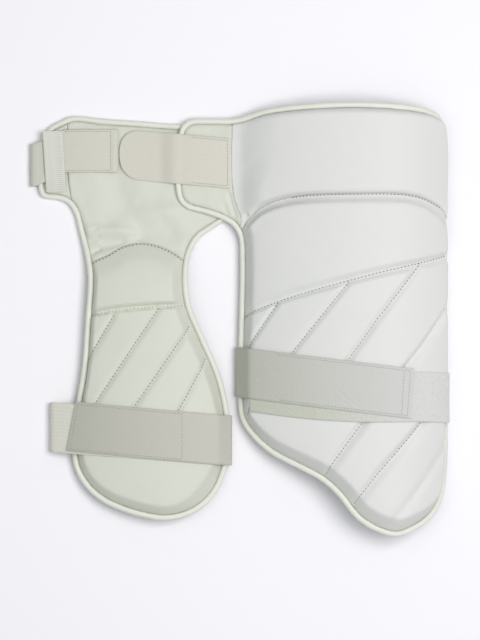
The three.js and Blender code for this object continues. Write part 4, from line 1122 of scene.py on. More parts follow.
@dataclass
class Guard:
    """What both guards share: an outline with piping, cut into panels along its seams."""

    finishes: Finishes
    seams: Seams
    arch: Arch = OUTER
    edge_rows: tuple[Row, ...] = OUTER_EDGE_LINE
    label: str = "outer"
    panel: Channel = field(init=False)
    diagonals: tuple[Channel, ...] = field(init=False)

    def __post_init__(self) -> None:
        """Works out the edge and the outline inside its piping."""
        self.edge = spline(self.arch.pattern(self.edge_rows), True, 3.0)
        self.cover = self.edge + inward(self.edge) * (PIPING_DIAMETER / 2)

    def seam(self, rows: Sequence[Row]) -> np.ndarray:
        """A seam as a smooth line in the pattern."""
        return spline(self.arch.pattern(rows), False, 3.0)

    def bevel_width(self, flat: np.ndarray) -> np.ndarray:
        """How wide the thigh pad's bevel is at places of the pattern."""
        raise NotImplementedError

    def edge_roll(self, flat: np.ndarray, radius: float) -> np.ndarray:
        """How far a cover has rounded up from the guard's edge."""
        return quarter_round(distance_to(flat, self.cover, closed=True), radius)

    def ridges(self, flat: np.ndarray, folds: Sequence[Fold]) -> np.ndarray:
        """How far some soft folds stand up."""
        rise = np.zeros(len(flat))
        for start, end, height, half_width in folds:
            away = distance_to(flat, self.arch.pattern([start, end])) / half_width
            rise += height * np.exp(-away * away)
        return rise

    def quilted(
        self,
        name: str,
        outline: np.ndarray,
        height: Relief,
        stuffing: "Stuffing",
        extra: Sequence[np.ndarray] = (),
    ) -> Sheet:
        """A thigh pad's cover, crisp along its channels and its bevel, settled over the foam.

        Args:
            name: the panel's name.
            outline: its outline in the pattern.
            height: its relief.
            stuffing: how it settles.
            extra: more lines along which it is crisp.

        Returns:
            The settled panel.
        """
        ring = even_ring(self.cover, 2.0)
        rim = ring + inward(ring) * self.bevel_width(ring)[:, None]
        channels = (self.panel, *self.diagonals)
        features = [f for channel in channels for f in channel.features(self.arch)]
        sheet = Sheet(name, self.arch, outline, height, [*features, rim, *extra])
        stuffing.settle(sheet, [channel.line(self.arch) for channel in channels], rim)
        return sheet

    def build_piping(self) -> None:
        """The bead round the guard, a cord in a folded strip, with the slight puckers of its sewing."""
        ring = even_ring(self.edge, 2.2)
        into = inward(ring)
        sides = 12
        pucker = 1 + 0.035 * waves(ring, 13.0, 5) + 0.02 * waves(ring, 6.0, 6)
        rings = []
        for k in range(sides):
            angle = 2 * math.pi * k / sides
            reach = PIPING_DIAMETER / 2 * pucker
            flat = ring + into * (math.cos(angle) * reach)[:, None]
            rings.append(self.arch.place(flat, PIPING_DIAMETER / 2 + math.sin(angle) * reach))
        count = len(ring)
        points = np.vstack(rings)
        faces = []
        for k in range(sides):
            j = (k + 1) % sides
            for i in range(count):
                n = (i + 1) % count
                faces.append([k * count + i, j * count + i, j * count + n, k * count + n])
        piece = make_mesh(f"{self.label}_piping_bead", points, faces, self.finishes.piping)
        self.piping_points = points
        finish_piece(piece, "piping", f"{self.label}_piping")

    def sew_channels(self, sheet: Sheet) -> None:
        """Sews each channel's row of stitches on a panel's face."""
        for channel in (self.panel, *self.diagonals):
            flat = resample(channel.line(self.arch), 1.0)
            first, last = (int(round(share * len(flat))) for share in channel.stitched)
            self.sew_line(sheet, flat[first:last])

    def sew_line(self, sheet: Sheet, flat: np.ndarray, margin: float = 1.5) -> None:
        """Sews a row of stitches on a panel's face where the line lies well within the panel."""
        inside = points_inside(flat, sheet.ring) & (distance_to(flat, sheet.ring, closed=True) > margin)
        if inside.sum() > 3:
            self.seams.sew(*sheet.on_face(flat[inside]))

    def press(self, flat: np.ndarray) -> np.ndarray:
        """How deep the sewing presses each point: along the panel's seam, and along the diagonals below it."""
        pressed, side = self.panel.press(flat, self.arch)
        for channel in self.diagonals:
            pressed = np.maximum(pressed, np.where(side < 0, channel.press(flat, self.arch)[0], 0))
        return pressed


@dataclass
class Stuffing:
    """Lets a cover settle over its foam.

    A coarse copy of the padded panel is cloth that is held at its border and its sewn lines and swells under
    pressure. The fine panel then takes over how far the copy moved.
    """

    spacing: float = 6.0
    pressure: float = 4.0
    frames: int = 20
    most: float = 1.8
    neighbours: int = 14

    def settle(self, sheet: Sheet, sewn: Sequence[np.ndarray], holds: np.ndarray | None = None) -> None:
        """Runs the simulation for one panel.

        Args:
            sheet: the fine panel, whose heights are changed.
            sewn: the lines along which its cover is sewn down.
            holds: the tops of its foam's edges, which keep their shape.
        """
        copy = Sheet(f"{sheet.name}_copy", sheet.arch, sheet.outline, sheet.height, list(sewn), self.spacing)
        blank = blank_material("copy")[0]
        piece = copy.make(blank, blank)
        before = np.array([v.co for v in piece.data.vertices])
        count = len(copy.flat)
        free = copy.depth > self.spacing * 0.8
        for line in [*sewn, *([holds] if holds is not None else [])]:
            free &= distance_to(copy.flat, line) > self.spacing * 0.55
        held = [i for i in range(len(before)) if i >= count or not free[i]]
        piece.vertex_groups.new(name="sewn").add(held, 1.0, "REPLACE")
        after = self.swollen(piece)
        out = copy.arch.place(copy.flat, copy.heights + 1.0) - copy.arch.place(copy.flat, copy.heights)
        moved = ((after[:count] - before[:count]) / MM * out).sum(axis=1)
        moved = self.most * np.tanh(moved / self.most)
        LOG.info("%s settled: mean %.2f mm, most %.2f mm", sheet.name, float(moved.mean()), float(moved.max()))
        bpy.data.objects.remove(piece)
        sheet.settle(self.carried_over(copy.flat, moved))

    def swollen(self, piece: bpy.types.Object) -> np.ndarray:
        """Swells the copy under pressure and returns where its points end."""
        modifier = piece.modifiers.new("settle", "CLOTH")
        settings = modifier.settings
        settings.vertex_group_mass = "sewn"
        settings.use_pressure = True
        settings.uniform_pressure_force = self.pressure
        settings.effector_weights.gravity = 0.0
        settings.tension_stiffness = settings.compression_stiffness = 20.0
        settings.bending_stiffness = 4.0
        scene = bpy.context.scene
        for number in range(1, self.frames + 1):
            scene.frame_set(number)
        settled = piece.evaluated_get(bpy.context.evaluated_depsgraph_get())
        places = np.array([v.co for v in settled.data.vertices])
        scene.frame_set(1)
        return places

    def carried_over(self, flat: np.ndarray, moved: np.ndarray) -> Spread:
        """Smooth values between the copy's points, as a function of places in the pattern."""
        tree = plane_tree(flat)
        reach = self.spacing * 1.1

        def at(points: np.ndarray) -> np.ndarray:
            """The copy's movement at some places."""
            values = np.zeros(len(points))
            for i, p in enumerate(points):
                found = tree.find_n((p[0], p[1], 0.0), self.neighbours)
                weights = [math.exp(-(near[2] / reach) ** 2) + 1e-9 for near in found]
                values[i] = sum(w * moved[near[1]] for w, near in zip(weights, found)) / sum(weights)
            return values

        return at


@dataclass
class OuterGuard(Guard):
    """The outer guard: waist wing, hip pad and thigh pad inside one piping."""

    foam: float = 18.0
    low_bevel: float = 12.5
    side_bevel: float = 8.0
    left_bevel: float = 15.0
    top_bevel: float = 9.5
    edge_height: float = 2.6
    hip_foam: float = 16.0
    hip_roll: float = 6.5
    hip_front: float = 56.0
    wing_foam: float = 4.5
    wing_edge: float = 2.4
    wing_seam_height: float = 5.7
    hip_stitch_drop: float = 1.1
    hip_stitch_span: tuple[float, float] = (-84.0, 62.0)
    panel: Channel = Channel(OUTER_PANEL_SEAM, 4.6, (10.0, 4.5), (2.6, 7.5), fullness=1.2)
    diagonals: tuple[Channel, ...] = (
        Channel(((0.208, 0.5375), (0.02, 0.4)), 2.6, (5.0, 5.5), (4.5, 4.5)),
        Channel(((0.54, 0.5865), (0.045, 0.274)), 2.8, (5.5, 6.5), (5.0, 5.5)),
        Channel(((0.852, 0.6295), (0.43, 0.331)), 3.0, (6.0, 7.0), (5.0, 5.5)),
        Channel(((0.985, 0.55), (0.39, 0.115)), 3.8, (8.0, 9.5), (4.5, 5.5), 1.6, (0.45, 1.0)),
        Channel(((0.985, 0.365), (0.545, 0.06)), 3.8, (8.5, 10.0), (4.5, 5.5), 1.6, (0.2, 1.0)),
        Channel(((0.985, 0.235), (0.7, 0.0)), 1.8, (8.0, 8.0), (8.0, 7.0), 1.6, (0.0, 0.0)),
    )
    creases: tuple[Fold, ...] = (
        ((-0.075, 0.745), (-0.02, 0.705), 2.0, 2.6),
        ((-0.085, 0.765), (-0.04, 0.72), 1.4, 2.4),
        ((-0.055, 0.79), (-0.03, 0.745), 1.7, 2.8),
    )
    gusset: tuple[Fold, ...] = (
        ((-0.005, 0.7), (0.045, 0.742), 2.6, 2.0),
        ((0.0, 0.722), (0.035, 0.745), 1.8, 1.8),
    )

    def build(self) -> None:
        """Builds every panel, the piping and the stitches."""
        main, wing = cut_outline(self.cover, self.seam(WING_SEAM))
        hip, thigh = cut_outline(main, self.seam(HIP_SEAM))
        self.hip_seam = self.seam(HIP_SEAM)
        self.thigh = self.build_thigh(thigh)
        self.build_hip(hip)
        self.wing = self.build_wing(wing)
        self.build_piping()
        self.sew()

    def seam_level(self, flat: np.ndarray) -> np.ndarray:
        """How high the hip seam lies: deep in its valley on the left, shallow from the middle to the right."""
        return 6.0 + 5.0 * smoothstep(flat[:, 0], -90.0, -35.0) + 2.0 * smoothstep(flat[:, 0], 25.0, 70.0)

    def bevel_width(self, flat: np.ndarray) -> np.ndarray:
        """The thigh pad's bevel: wide round the foot and up the left side, narrower on the right."""
        side = self.side_bevel + (self.left_bevel - self.side_bevel) * smoothstep(-flat[:, 0], 60.0, 105.0)
        return self.low_bevel + (side - self.low_bevel) * smoothstep(flat[:, 1], -95.0, -60.0)

    def build_thigh(self, outline: np.ndarray) -> Sheet:
        """The thigh pad: bevelled foam blocks between sewn channels."""

        def height(flat: np.ndarray, depth: np.ndarray) -> np.ndarray:
            """The face's height."""
            from_edge = distance_to(flat, self.cover, closed=True)
            width, level = self.bevel_width(flat), self.seam_level(flat)
            upper = smoothstep(flat[:, 1], -95.0, -60.0)
            slope = self.edge_height + (self.foam - self.edge_height) * from_edge / width
            reach = self.top_bevel + 4.0 * smoothstep(flat[:, 0], 20.0, 70.0)
            near_hip = np.clip(distance_to(flat, self.hip_seam) / reach, 0, 2)
            top = level + (self.foam - level) * near_hip ** 1.9
            body = smooth_min(slope, self.foam, 0.35 + 1.6 * upper)
            body = smooth_min(body, top, 0.8)
            share = np.clip((body - self.edge_height) / (self.foam - self.edge_height), 0.12, 1) ** 0.6
            pressed = self.press(flat)
            swell = swelling(depth - width, pressed, 0.9)
            uneven = 0.16 * waves(flat, 46, 11) + 0.06 * waves(flat, 17, 12)
            return body - pressed * share + swell + uneven * share

        brow = resample(self.hip_seam, 2.0) - np.array([0.0, self.top_bevel])
        sheet = self.quilted("outer_thigh_cover", outline, height, Stuffing(), [brow])
        piece = sheet.make(self.finishes.white_cover, self.finishes.lining)
        finish_piece(piece, "white_cover", "outer_thigh_pad")
        return sheet

    def build_hip(self, outline: np.ndarray) -> None:
        """The hip pad: one smooth flap with a rolled lower edge that rises out of the wing."""
        front = self.arch.pattern([(-0.04, 0.985), (-0.04, 0.79), (-0.02, 0.765), (0.0, 0.74)])
        front_level = self.wing_seam_height

        def height(flat: np.ndarray, depth: np.ndarray) -> np.ndarray:
            """The face's height."""
            level = self.seam_level(flat)
            edge = self.edge_roll(flat, self.hip_roll)
            seam = quarter_round(distance_to(flat, self.hip_seam), self.hip_roll)
            body = self.edge_height + (self.hip_foam - self.edge_height) * edge
            body = smooth_min(body, level + (self.hip_foam - level) * seam, 0.6)
            reach = self.hip_front * (0.65 + 0.35 * smoothstep(distance_to(flat, self.hip_seam), 8.0, 45.0))
            front_share = smoothstep(distance_to(flat, front) / reach, -0.1, 1.0)
            body = np.minimum(body, front_level) + np.maximum(body - front_level, 0) * front_share
            uneven = 0.3 * waves(flat, 70, 21) + 0.08 * waves(flat, 24, 22)
            return body - self.ridges(flat, self.gusset) + uneven * np.minimum(edge, seam)

        sheet = Sheet("hip_cover", self.arch, outline, height, [front])
        Stuffing(most=1.6).settle(sheet, [front])
        piece = sheet.make(self.finishes.white_cover, self.finishes.lining)
        finish_piece(piece, "white_cover", "hip_pad")

    def build_wing(self, outline: np.ndarray) -> Sheet:
        """The wing: thin foam in soft cover, under the joining tab, creased where it meets the hip pad."""
        wing_seam = self.seam(WING_SEAM)

        def height(flat: np.ndarray, depth: np.ndarray) -> np.ndarray:
            """The face's height."""
            roll = self.edge_roll(flat, 4.0)
            rise = (self.wing_seam_height - self.wing_foam) * np.exp(-(distance_to(flat, wing_seam) / 7.0) ** 2)
            soft = 0.22 * waves(flat, 30, 31) + 0.12 * waves(flat, 11, 32)
            relief = (soft - self.ridges(flat, self.creases)) * np.clip(depth / 3.0, 0, 1)
            return self.wing_edge + (self.wing_foam - self.wing_edge + rise) * roll + relief

        sheet = Sheet("wing_cover", self.arch, outline, height)
        Stuffing(spacing=5.0, most=0.9).settle(sheet, [])
        piece = sheet.make(self.finishes.ivory_cover, self.finishes.lining)
        finish_piece(piece, "ivory_cover", "waist_wing")
        return sheet

    def sew(self) -> None:
        """Sews the channels and the hip seam."""
        self.sew_channels(self.thigh)
        below = resample(self.hip_seam, 1.0) - np.array([0.0, self.hip_stitch_drop])
        left, right = self.hip_stitch_span
        self.sew_line(self.thigh, below[(below[:, 0] > left) & (below[:, 0] < right)], margin=0.3)


@dataclass
class InnerGuard(Guard):
    """The inner guard: strap tab panel, soft hanger and thigh pad inside one piping."""

    arch: Arch = INNER
    edge_rows: tuple[Row, ...] = INNER_EDGE_LINE
    label: str = "inner"
    foam: float = 13.0
    left_bevel: float = 6.2
    right_bevel: float = 11.5
    low_bevel: float = 9.0
    foot_facet: float = 8.0
    edge_height: float = 2.4
    hanger_foam: float = 5.0
    hanger_edge: float = 2.6
    tab_edge: float = 2.2
    tab_swell: float = 1.7
    arc_stitch_drop: float = 2.2
    panel: Channel = Channel(INNER_PANEL_SEAM, 7.4, (5.8, 4.6), (2.6, 2.2), fullness=1.05)
    diagonals: tuple[Channel, ...] = (
        Channel(((0.265, 0.505), (0.1, 0.395)), 2.2, (6.5, 7.0), (5.0, 5.5)),
        Channel(((0.548, 0.5225), (0.03, 0.215)), 2.4, (6.0, 6.5), (4.5, 4.5)),
        Channel(((0.743, 0.478), (0.2, 0.165)), 2.4, (6.0, 6.5), (4.5, 4.5)),
        Channel(((0.847, 0.397), (0.53, 0.165)), 2.2, (6.0, 6.5), (4.5, 4.5)),
    )
    folds: tuple[Fold, ...] = (
        ((0.06, 0.72), (0.36, 0.714), 3.4, 6.5),
        ((0.1, 0.672), (0.3, 0.688), -3.0, 5.0),
        ((0.3, 0.735), (0.58, 0.77), 2.8, 10.0),
        ((0.2, 0.9), (0.42, 0.7), -2.4, 13.0),
        ((0.72, 0.7), (0.66, 0.77), 2.4, 9.0),
        ((0.1, 0.655), (0.16, 0.672), -1.9, 2.0),
        ((0.095, 0.672), (0.16, 0.687), 1.5, 1.8),
        ((0.09, 0.69), (0.15, 0.7), -1.7, 1.9),
        ((0.08, 0.715), (0.14, 0.722), -1.4, 2.0),
        ((0.66, 0.667), (0.72, 0.662), -0.8, 1.8),
        ((0.9, 0.74), (0.84, 0.79), -0.7, 3.0),
        ((0.96, 0.755), (0.9, 0.82), -0.6, 3.0),
    )

    def build(self) -> None:
        """Builds every panel, the piping and the stitches."""
        upper, thigh = cut_outline(self.cover, self.seam(ARC_SEAM))
        hanger, tab = cut_outline(upper, self.seam(TAB_SEAM))
        self.arc_seam = self.seam(ARC_SEAM)
        self.thigh = self.build_thigh(thigh)
        self.hanger = self.build_hanger(hanger)
        self.tab = self.build_tab(tab)
        self.build_piping()
        self.sew_channels(self.thigh)
        below = resample(self.arc_seam, 1.0) - np.array([0.0, self.arc_stitch_drop])
        self.sew_line(self.thigh, below, margin=0.8)

    def bevel_width(self, flat: np.ndarray) -> np.ndarray:
        """The thigh pad's bevel: narrow on the left, wider on the right and round the foot."""
        low = smoothstep(-flat[:, 1], 75.0, 125.0)
        side = self.left_bevel + (self.right_bevel - self.left_bevel) * smoothstep(flat[:, 0], -30.0, 20.0)
        corner = np.linalg.norm(flat - self.arch.pattern([(0.9, 0.07)]), axis=1) / 26.0
        return side + (self.low_bevel - side) * low + self.foot_facet * np.exp(-corner * corner)

    def build_thigh(self, outline: np.ndarray) -> Sheet:
        """The inner thigh pad."""

        def height(flat: np.ndarray, depth: np.ndarray) -> np.ndarray:
            """The face's height."""
            from_edge = distance_to(flat, self.cover, closed=True)
            from_arc = distance_to(flat, self.arc_seam)
            rise = self.foam - self.edge_height
            side = self.edge_height + rise * from_edge / self.bevel_width(flat)
            brow = self.hanger_foam + (self.foam - self.hanger_foam) * np.clip(from_arc / 20.0, 0, 2) ** 0.8
            body = smooth_min(smooth_min(side, self.foam, 0.35), brow, 1.2)
            share = np.clip((body - self.edge_height) / rise, 0.12, 1) ** 0.7
            pressed = self.press(flat)
            swell = swelling(depth - self.low_bevel, pressed, 0.7)
            uneven = 0.15 * waves(flat, 40, 41) + 0.06 * waves(flat, 15, 42)
            return np.maximum(body - pressed * share + swell + uneven * share, 1.0)

        sheet = self.quilted("inner_thigh_cover", outline, height, Stuffing(spacing=5.5, most=1.6))
        piece = sheet.make(self.finishes.ivory_cover, self.finishes.lining)
        finish_piece(piece, "ivory_cover", "inner_thigh_pad")
        return sheet

    def build_hanger(self, outline: np.ndarray) -> Sheet:
        """The soft hanger, with the folds that its hanging weight pulls into it."""

        def height(flat: np.ndarray, depth: np.ndarray) -> np.ndarray:
            """The face's height."""
            roll = self.edge_roll(flat, 6.0)
            soft = 0.32 * waves(flat, 34, 51) + 0.12 * waves(flat, 12, 52)
            relief = (self.ridges(flat, self.folds) + soft) * smoothstep(depth, -1.0, 4.0)
            return self.hanger_edge + (self.hanger_foam - self.hanger_edge) * roll + relief

        sheet = Sheet("hanger_cover", self.arch, outline, height)
        Stuffing(most=1.2).settle(sheet, [])
        piece = sheet.make(self.finishes.ivory_cover, self.finishes.lining)
        finish_piece(piece, "ivory_cover", "hanger_panel")
        return sheet

    def build_tab(self, outline: np.ndarray) -> Sheet:
        """The small tab panel that the waist strap is threaded over."""

        def height(flat: np.ndarray, depth: np.ndarray) -> np.ndarray:
            """The face's height."""
            roll = self.edge_roll(flat, 3.0)
            return self.tab_edge + self.tab_swell * roll + 0.1 * waves(flat, 15, 61) * roll

        sheet = Sheet("strap_tab_cover", self.arch, outline, height)
        piece = sheet.make(self.finishes.ivory_cover, self.finishes.lining)
        finish_piece(piece, "ivory_cover", "strap_tab_panel")
        return sheet


def hull(points: np.ndarray) -> np.ndarray:
    """The convex outline round some points, counterclockwise from the leftmost."""
    ordered = points[np.lexsort((points[:, 1], points[:, 0]))]

    def chain(run: np.ndarray) -> list[np.ndarray]:
        """One side of the outline."""
        kept: list[np.ndarray] = []
        for p in run:
            while len(kept) > 1:
                a, b = kept[-2], kept[-1]
                if (b[0] - a[0]) * (p[1] - b[1]) - (b[1] - a[1]) * (p[0] - b[0]) > 1e-6:
                    break
                kept.pop()
            kept.append(p)
        return kept[:-1]

    return np.array(chain(ordered) + chain(ordered[::-1]))


def stretch(path: np.ndarray, start: tuple[float, bool], end: tuple[float, bool]) -> np.ndarray:
    """The part of a closed counterclockwise path between two places.

    Args:
        path: the closed path, as places across and heights.
        start: the first place across, and whether it is on the front.
        end: the last place across, and whether it is on the front.

    Returns:
        The run between them at even steps.
    """
    def spot(across: float, front: bool) -> tuple[int, np.ndarray]:
        """Where the path passes a place."""
        for i in range(len(path)):
            a, b = path[i], path[(i + 1) % len(path)]
            crosses = a[0] >= across > b[0] if front else a[0] < across <= b[0]
            if crosses:
                return i, a + (b - a) * (across - a[0]) / (b[0] - a[0])
        raise ValueError("a strap's end lies off its path")

    (first, begin), (last, stop) = spot(*start), spot(*end)
    even = resample(np.array([begin, *corners_between(path, first, last), stop]), 1.6)
    soft = even.copy()
    soft[1:-1] = (even[:-2] + 2 * even[1:-1] + even[2:]) / 4
    return soft


def roller(across: float, height: float, radius: float) -> np.ndarray:
    """Points round a small roller, which hold a band's fold open."""
    angles = np.linspace(0, 2 * math.pi, 24, endpoint=False)
    return np.column_stack([across + radius * np.cos(angles), height + radius * np.sin(angles)])


@dataclass
class Band:
    """A flat band that follows a path seen edge on, with rounded selvedges."""

    name: str
    run: np.ndarray
    thickness: float
    width: float
    middle: Spread
    along_y: bool = False
    outside: float = 1.0
    gap: float = FIT
    slant: float = 0.0
    slant_reach: float = 30.0
    half_width: Spread | None = None
    ripple: float = 0.25
    hem: float = 0.0
    seed: int = 71
    columns: int = 15

    def __post_init__(self) -> None:
        """Measures the run and its normals."""
        ahead = np.gradient(self.run, axis=0)
        ahead /= np.linalg.norm(ahead, axis=1)[:, None]
        self.normals = np.column_stack([ahead[:, 1], -ahead[:, 0]]) * self.outside
        self.along = lengths_along(self.run)

    @property
    def length(self) -> float:
        """The band's length along its run."""
        return float(self.along[-1])

    def spot(self, along: np.ndarray, across: np.ndarray, height: np.ndarray | float) -> np.ndarray:
        """Points in space of the band.

        Args:
            along: distances along the band.
            across: distances from its middle.
            height: distances over its under side.

        Returns:
            Points in millimetres.
        """
        lean = self.slant * across / self.width * np.clip(1 - along / self.slant_reach, 0, 1)
        moved = np.clip(along + lean, -abs(self.slant), self.length)
        p = np.column_stack([np.interp(moved, self.along, self.run[:, k]) for k in range(2)])
        start = self.run[1] - self.run[0]
        before = np.minimum(moved, 0)[:, None] * start / np.linalg.norm(start)
        n = np.column_stack([np.interp(moved, self.along, self.normals[:, k]) for k in range(2)])
        n /= np.linalg.norm(n, axis=1)[:, None]
        p = p + before + n * (self.gap + height)[:, None]
        side = self.middle(p) + across
        if self.along_y:
            return np.column_stack([side, p[:, 0], p[:, 1]])
        return np.column_stack([p[:, 0], side, p[:, 1]])

    def make(self, material: bpy.types.Material) -> bpy.types.Object:
        """Builds the band."""
        count = len(self.run)
        halves = np.full(count, self.width / 2) if self.half_width is None else self.half_width(self.along)
        shares = np.sin(np.linspace(-math.pi / 2, math.pi / 2, self.columns))
        layers: list[np.ndarray] = []
        lays: list[np.ndarray] = []
        loops = [(share, 1.0) for share in shares] + [(share, 0.0) for share in shares[::-1]]
        for share, side in loops:
            across = share * halves
            rounding = np.clip((halves - np.abs(across)) / (self.thickness * 0.6), 0, 1)
            full = 0.5 + (side - 0.5) * np.sqrt(np.clip(1 - (1 - rounding) ** 2, 0.05, 1))
            bead = 0.12 * np.exp(-((halves - np.abs(across) - 1.5) / 1.0) ** 2)
            lay = np.column_stack([self.along, across])
            wave = self.ripple * waves(lay, 26, self.seed) * side * np.clip(self.thickness, 0, 1) * 0.5
            turned = 0.7 * (1 - smoothstep(self.along, self.hem - 0.5, self.hem + 0.5)) if self.hem else 0.0
            height = self.thickness * full + (bead + np.abs(wave) + turned) * side
            layers.append(self.spot(self.along, across, height))
            lays.append(lay)
        faces = []
        size = len(loops)
        for k in range(size):
            j = (k + 1) % size
            for i in range(count - 1):
                faces.append([k * count + i, k * count + i + 1, j * count + i + 1, j * count + i])
        faces.append([k * count for k in range(size)])
        faces.append([k * count + count - 1 for k in range(size)][::-1])
        if (self.outside < 0) != self.along_y:
            faces = [f[::-1] for f in faces]
        self.points = np.vstack(layers)
        self.points[:, 2] = np.maximum(self.points[:, 2], 0.02)
        return make_mesh(self.name, self.points, faces, material, np.vstack(lays), sharp_degrees=50)

    def sew(self, seams: Seams, path: Sequence[Row]) -> None:
        """Sews a row of stitches on the face along a path of (along, across) corners."""
        line = resample(np.array(path, float), 0.8)
        flat = np.full(len(line), self.thickness + 0.1)
        spots = self.spot(line[:, 0], line[:, 1], flat)
        seams.sew(spots, self.spot(line[:, 0], line[:, 1], flat + 1.0) - spots)


@dataclass
class LegStraps:
    """The elastic and the loop band of each guard, which meet behind it."""

    finishes: Finishes
    seams: Seams
    width: float = 50.0
    elastic: float = 1.8
    loop: float = 1.4
    tuck: float = 4.0
    slack: float = 24.0
    slack_radius: float = 5.0
    outer_end: float = 0.845
    outer_turn: float = 0.92
    inner_end: float = -0.022
    inner_turn: float = 0.06
    outer_sewn: float = 134.0
    inner_sewn: float = 112.0

    def section(self, guard: Guard, sheet: Sheet, middle: Spread) -> np.ndarray:
        """What the straps wrap: the pad's face and piping within their width, seen from the foot."""
        everything = np.vstack([guard.arch.place(sheet.flat, sheet.heights), guard.piping_points])
        away = np.abs(everything[:, 1] - middle(everything[:, [0, 2]]))
        near = everything[away < self.width / 2 + 1.0]
        return near[:, [0, 2]]

    def wrapped(self, points: np.ndarray) -> np.ndarray:
        """The closed path of a taut band round some points, down to the level that they rest on."""
        left, right = points[:, 0].min(), points[:, 0].max()
        low = points[:, 1].min()
        corners = [(left + self.tuck, min(REST, low)), (right - self.tuck, min(REST, low))]
        return hull(np.vstack([points, corners]))

    @staticmethod
    def middle(arch: Arch, left_up: float, right_up: float, sag: float = 0.0) -> Spread:
        """The Y of a strap's middle, from its heights at the guard's two sides and how far it sags between."""
        def at(p: np.ndarray) -> np.ndarray:
            """The middle's Y."""
            share = (p[:, 0] - arch.left) / arch.width
            bow = sag * np.sin(math.pi * np.clip(share / 0.9, 0, 1))
            return arch.foot + (left_up + (right_up - left_up) * share) * arch.length - bow
        return at

    def build_outer(self, guard: OuterGuard) -> None:
        """The outer guard's loop band, then the elastic that is hooked onto it."""
        arch = guard.arch
        strap_middle = self.middle(arch, 0.376, 0.319)
        band_middle = self.middle(arch, 0.346, 0.318, sag=4.5)
        section = np.vstack([self.section(guard, guard.thigh, m) for m in (strap_middle, band_middle)])
        run = stretch(self.wrapped(section), (arch.x(self.outer_turn) + FIT, False), (arch.x(0.05), True))
        band = Band("outer_loop_tape", run, self.loop, self.width, band_middle, seed=72)
        finish_piece(band.make(self.finishes.loop_pile), "loop_pile", "outer_loop_band")
        end = arch.x(self.outer_end)
        over = band.points[(band.points[:, 2] > REST + 17) & (band.points[:, 0] < end + 6)][:, [0, 2]]
        run = stretch(self.wrapped(np.vstack([section, over])), (end, True), (arch.x(self.outer_turn), False))
        strap = Band("outer_leg_elastic", run, self.elastic, self.width, strap_middle, slant=-4.4, seed=73)
        finish_piece(strap.make(self.finishes.outer_elastic), "elastic", "outer_leg_strap")
        inset, back = self.width / 2 - 2.6, self.outer_sewn
        strap.sew(self.seams, [(back, inset), (4.0, inset), (4.0, -inset), (back, -inset)])
        strap.sew(self.seams, [(10.0, inset), (10.0, -inset)])

    def build_inner(self, guard: InnerGuard) -> None:
        """The inner guard's loop band with its slack loop, then its elastic."""
        arch = guard.arch
        strap_middle = self.middle(arch, 0.228, 0.194)
        band_middle = self.middle(arch, 0.222, 0.197)
        section = np.vstack([self.section(guard, guard.thigh, m) for m in (strap_middle, band_middle)])
        radius = self.slack_radius
        slack = roller(arch.left - self.slack + radius, REST + radius, radius)
        path = self.wrapped(np.vstack([section, slack]))
        run = stretch(path, (arch.x(0.93), True), (arch.x(self.inner_turn) - FIT, False))
        band = Band("inner_loop_tape", run, self.loop, self.width, band_middle, seed=74)
        finish_piece(band.make(self.finishes.slack_loop), "loop_pile", "inner_loop_band")
        end = arch.x(self.inner_end)
        over = band.points[(band.points[:, 2] > REST + 7) & (band.points[:, 0] > end - 14)][:, [0, 2]]
        path = self.wrapped(np.vstack([section, over]))
        run = stretch(path, (arch.x(self.inner_turn), False), (end, True))[::-1]
        strap = Band(
            "inner_leg_elastic", run, self.elastic, self.width, strap_middle, outside=-1.0, slant=10.0, seed=75,
        )
        finish_piece(strap.make(self.finishes.inner_elastic), "elastic", "inner_leg_strap")
        inset, back = self.width / 2 - 2.4, self.inner_sewn
        strap.sew(self.seams, [(back, inset), (3.0, inset), (3.0, -inset), (back, -inset), (back, inset)])


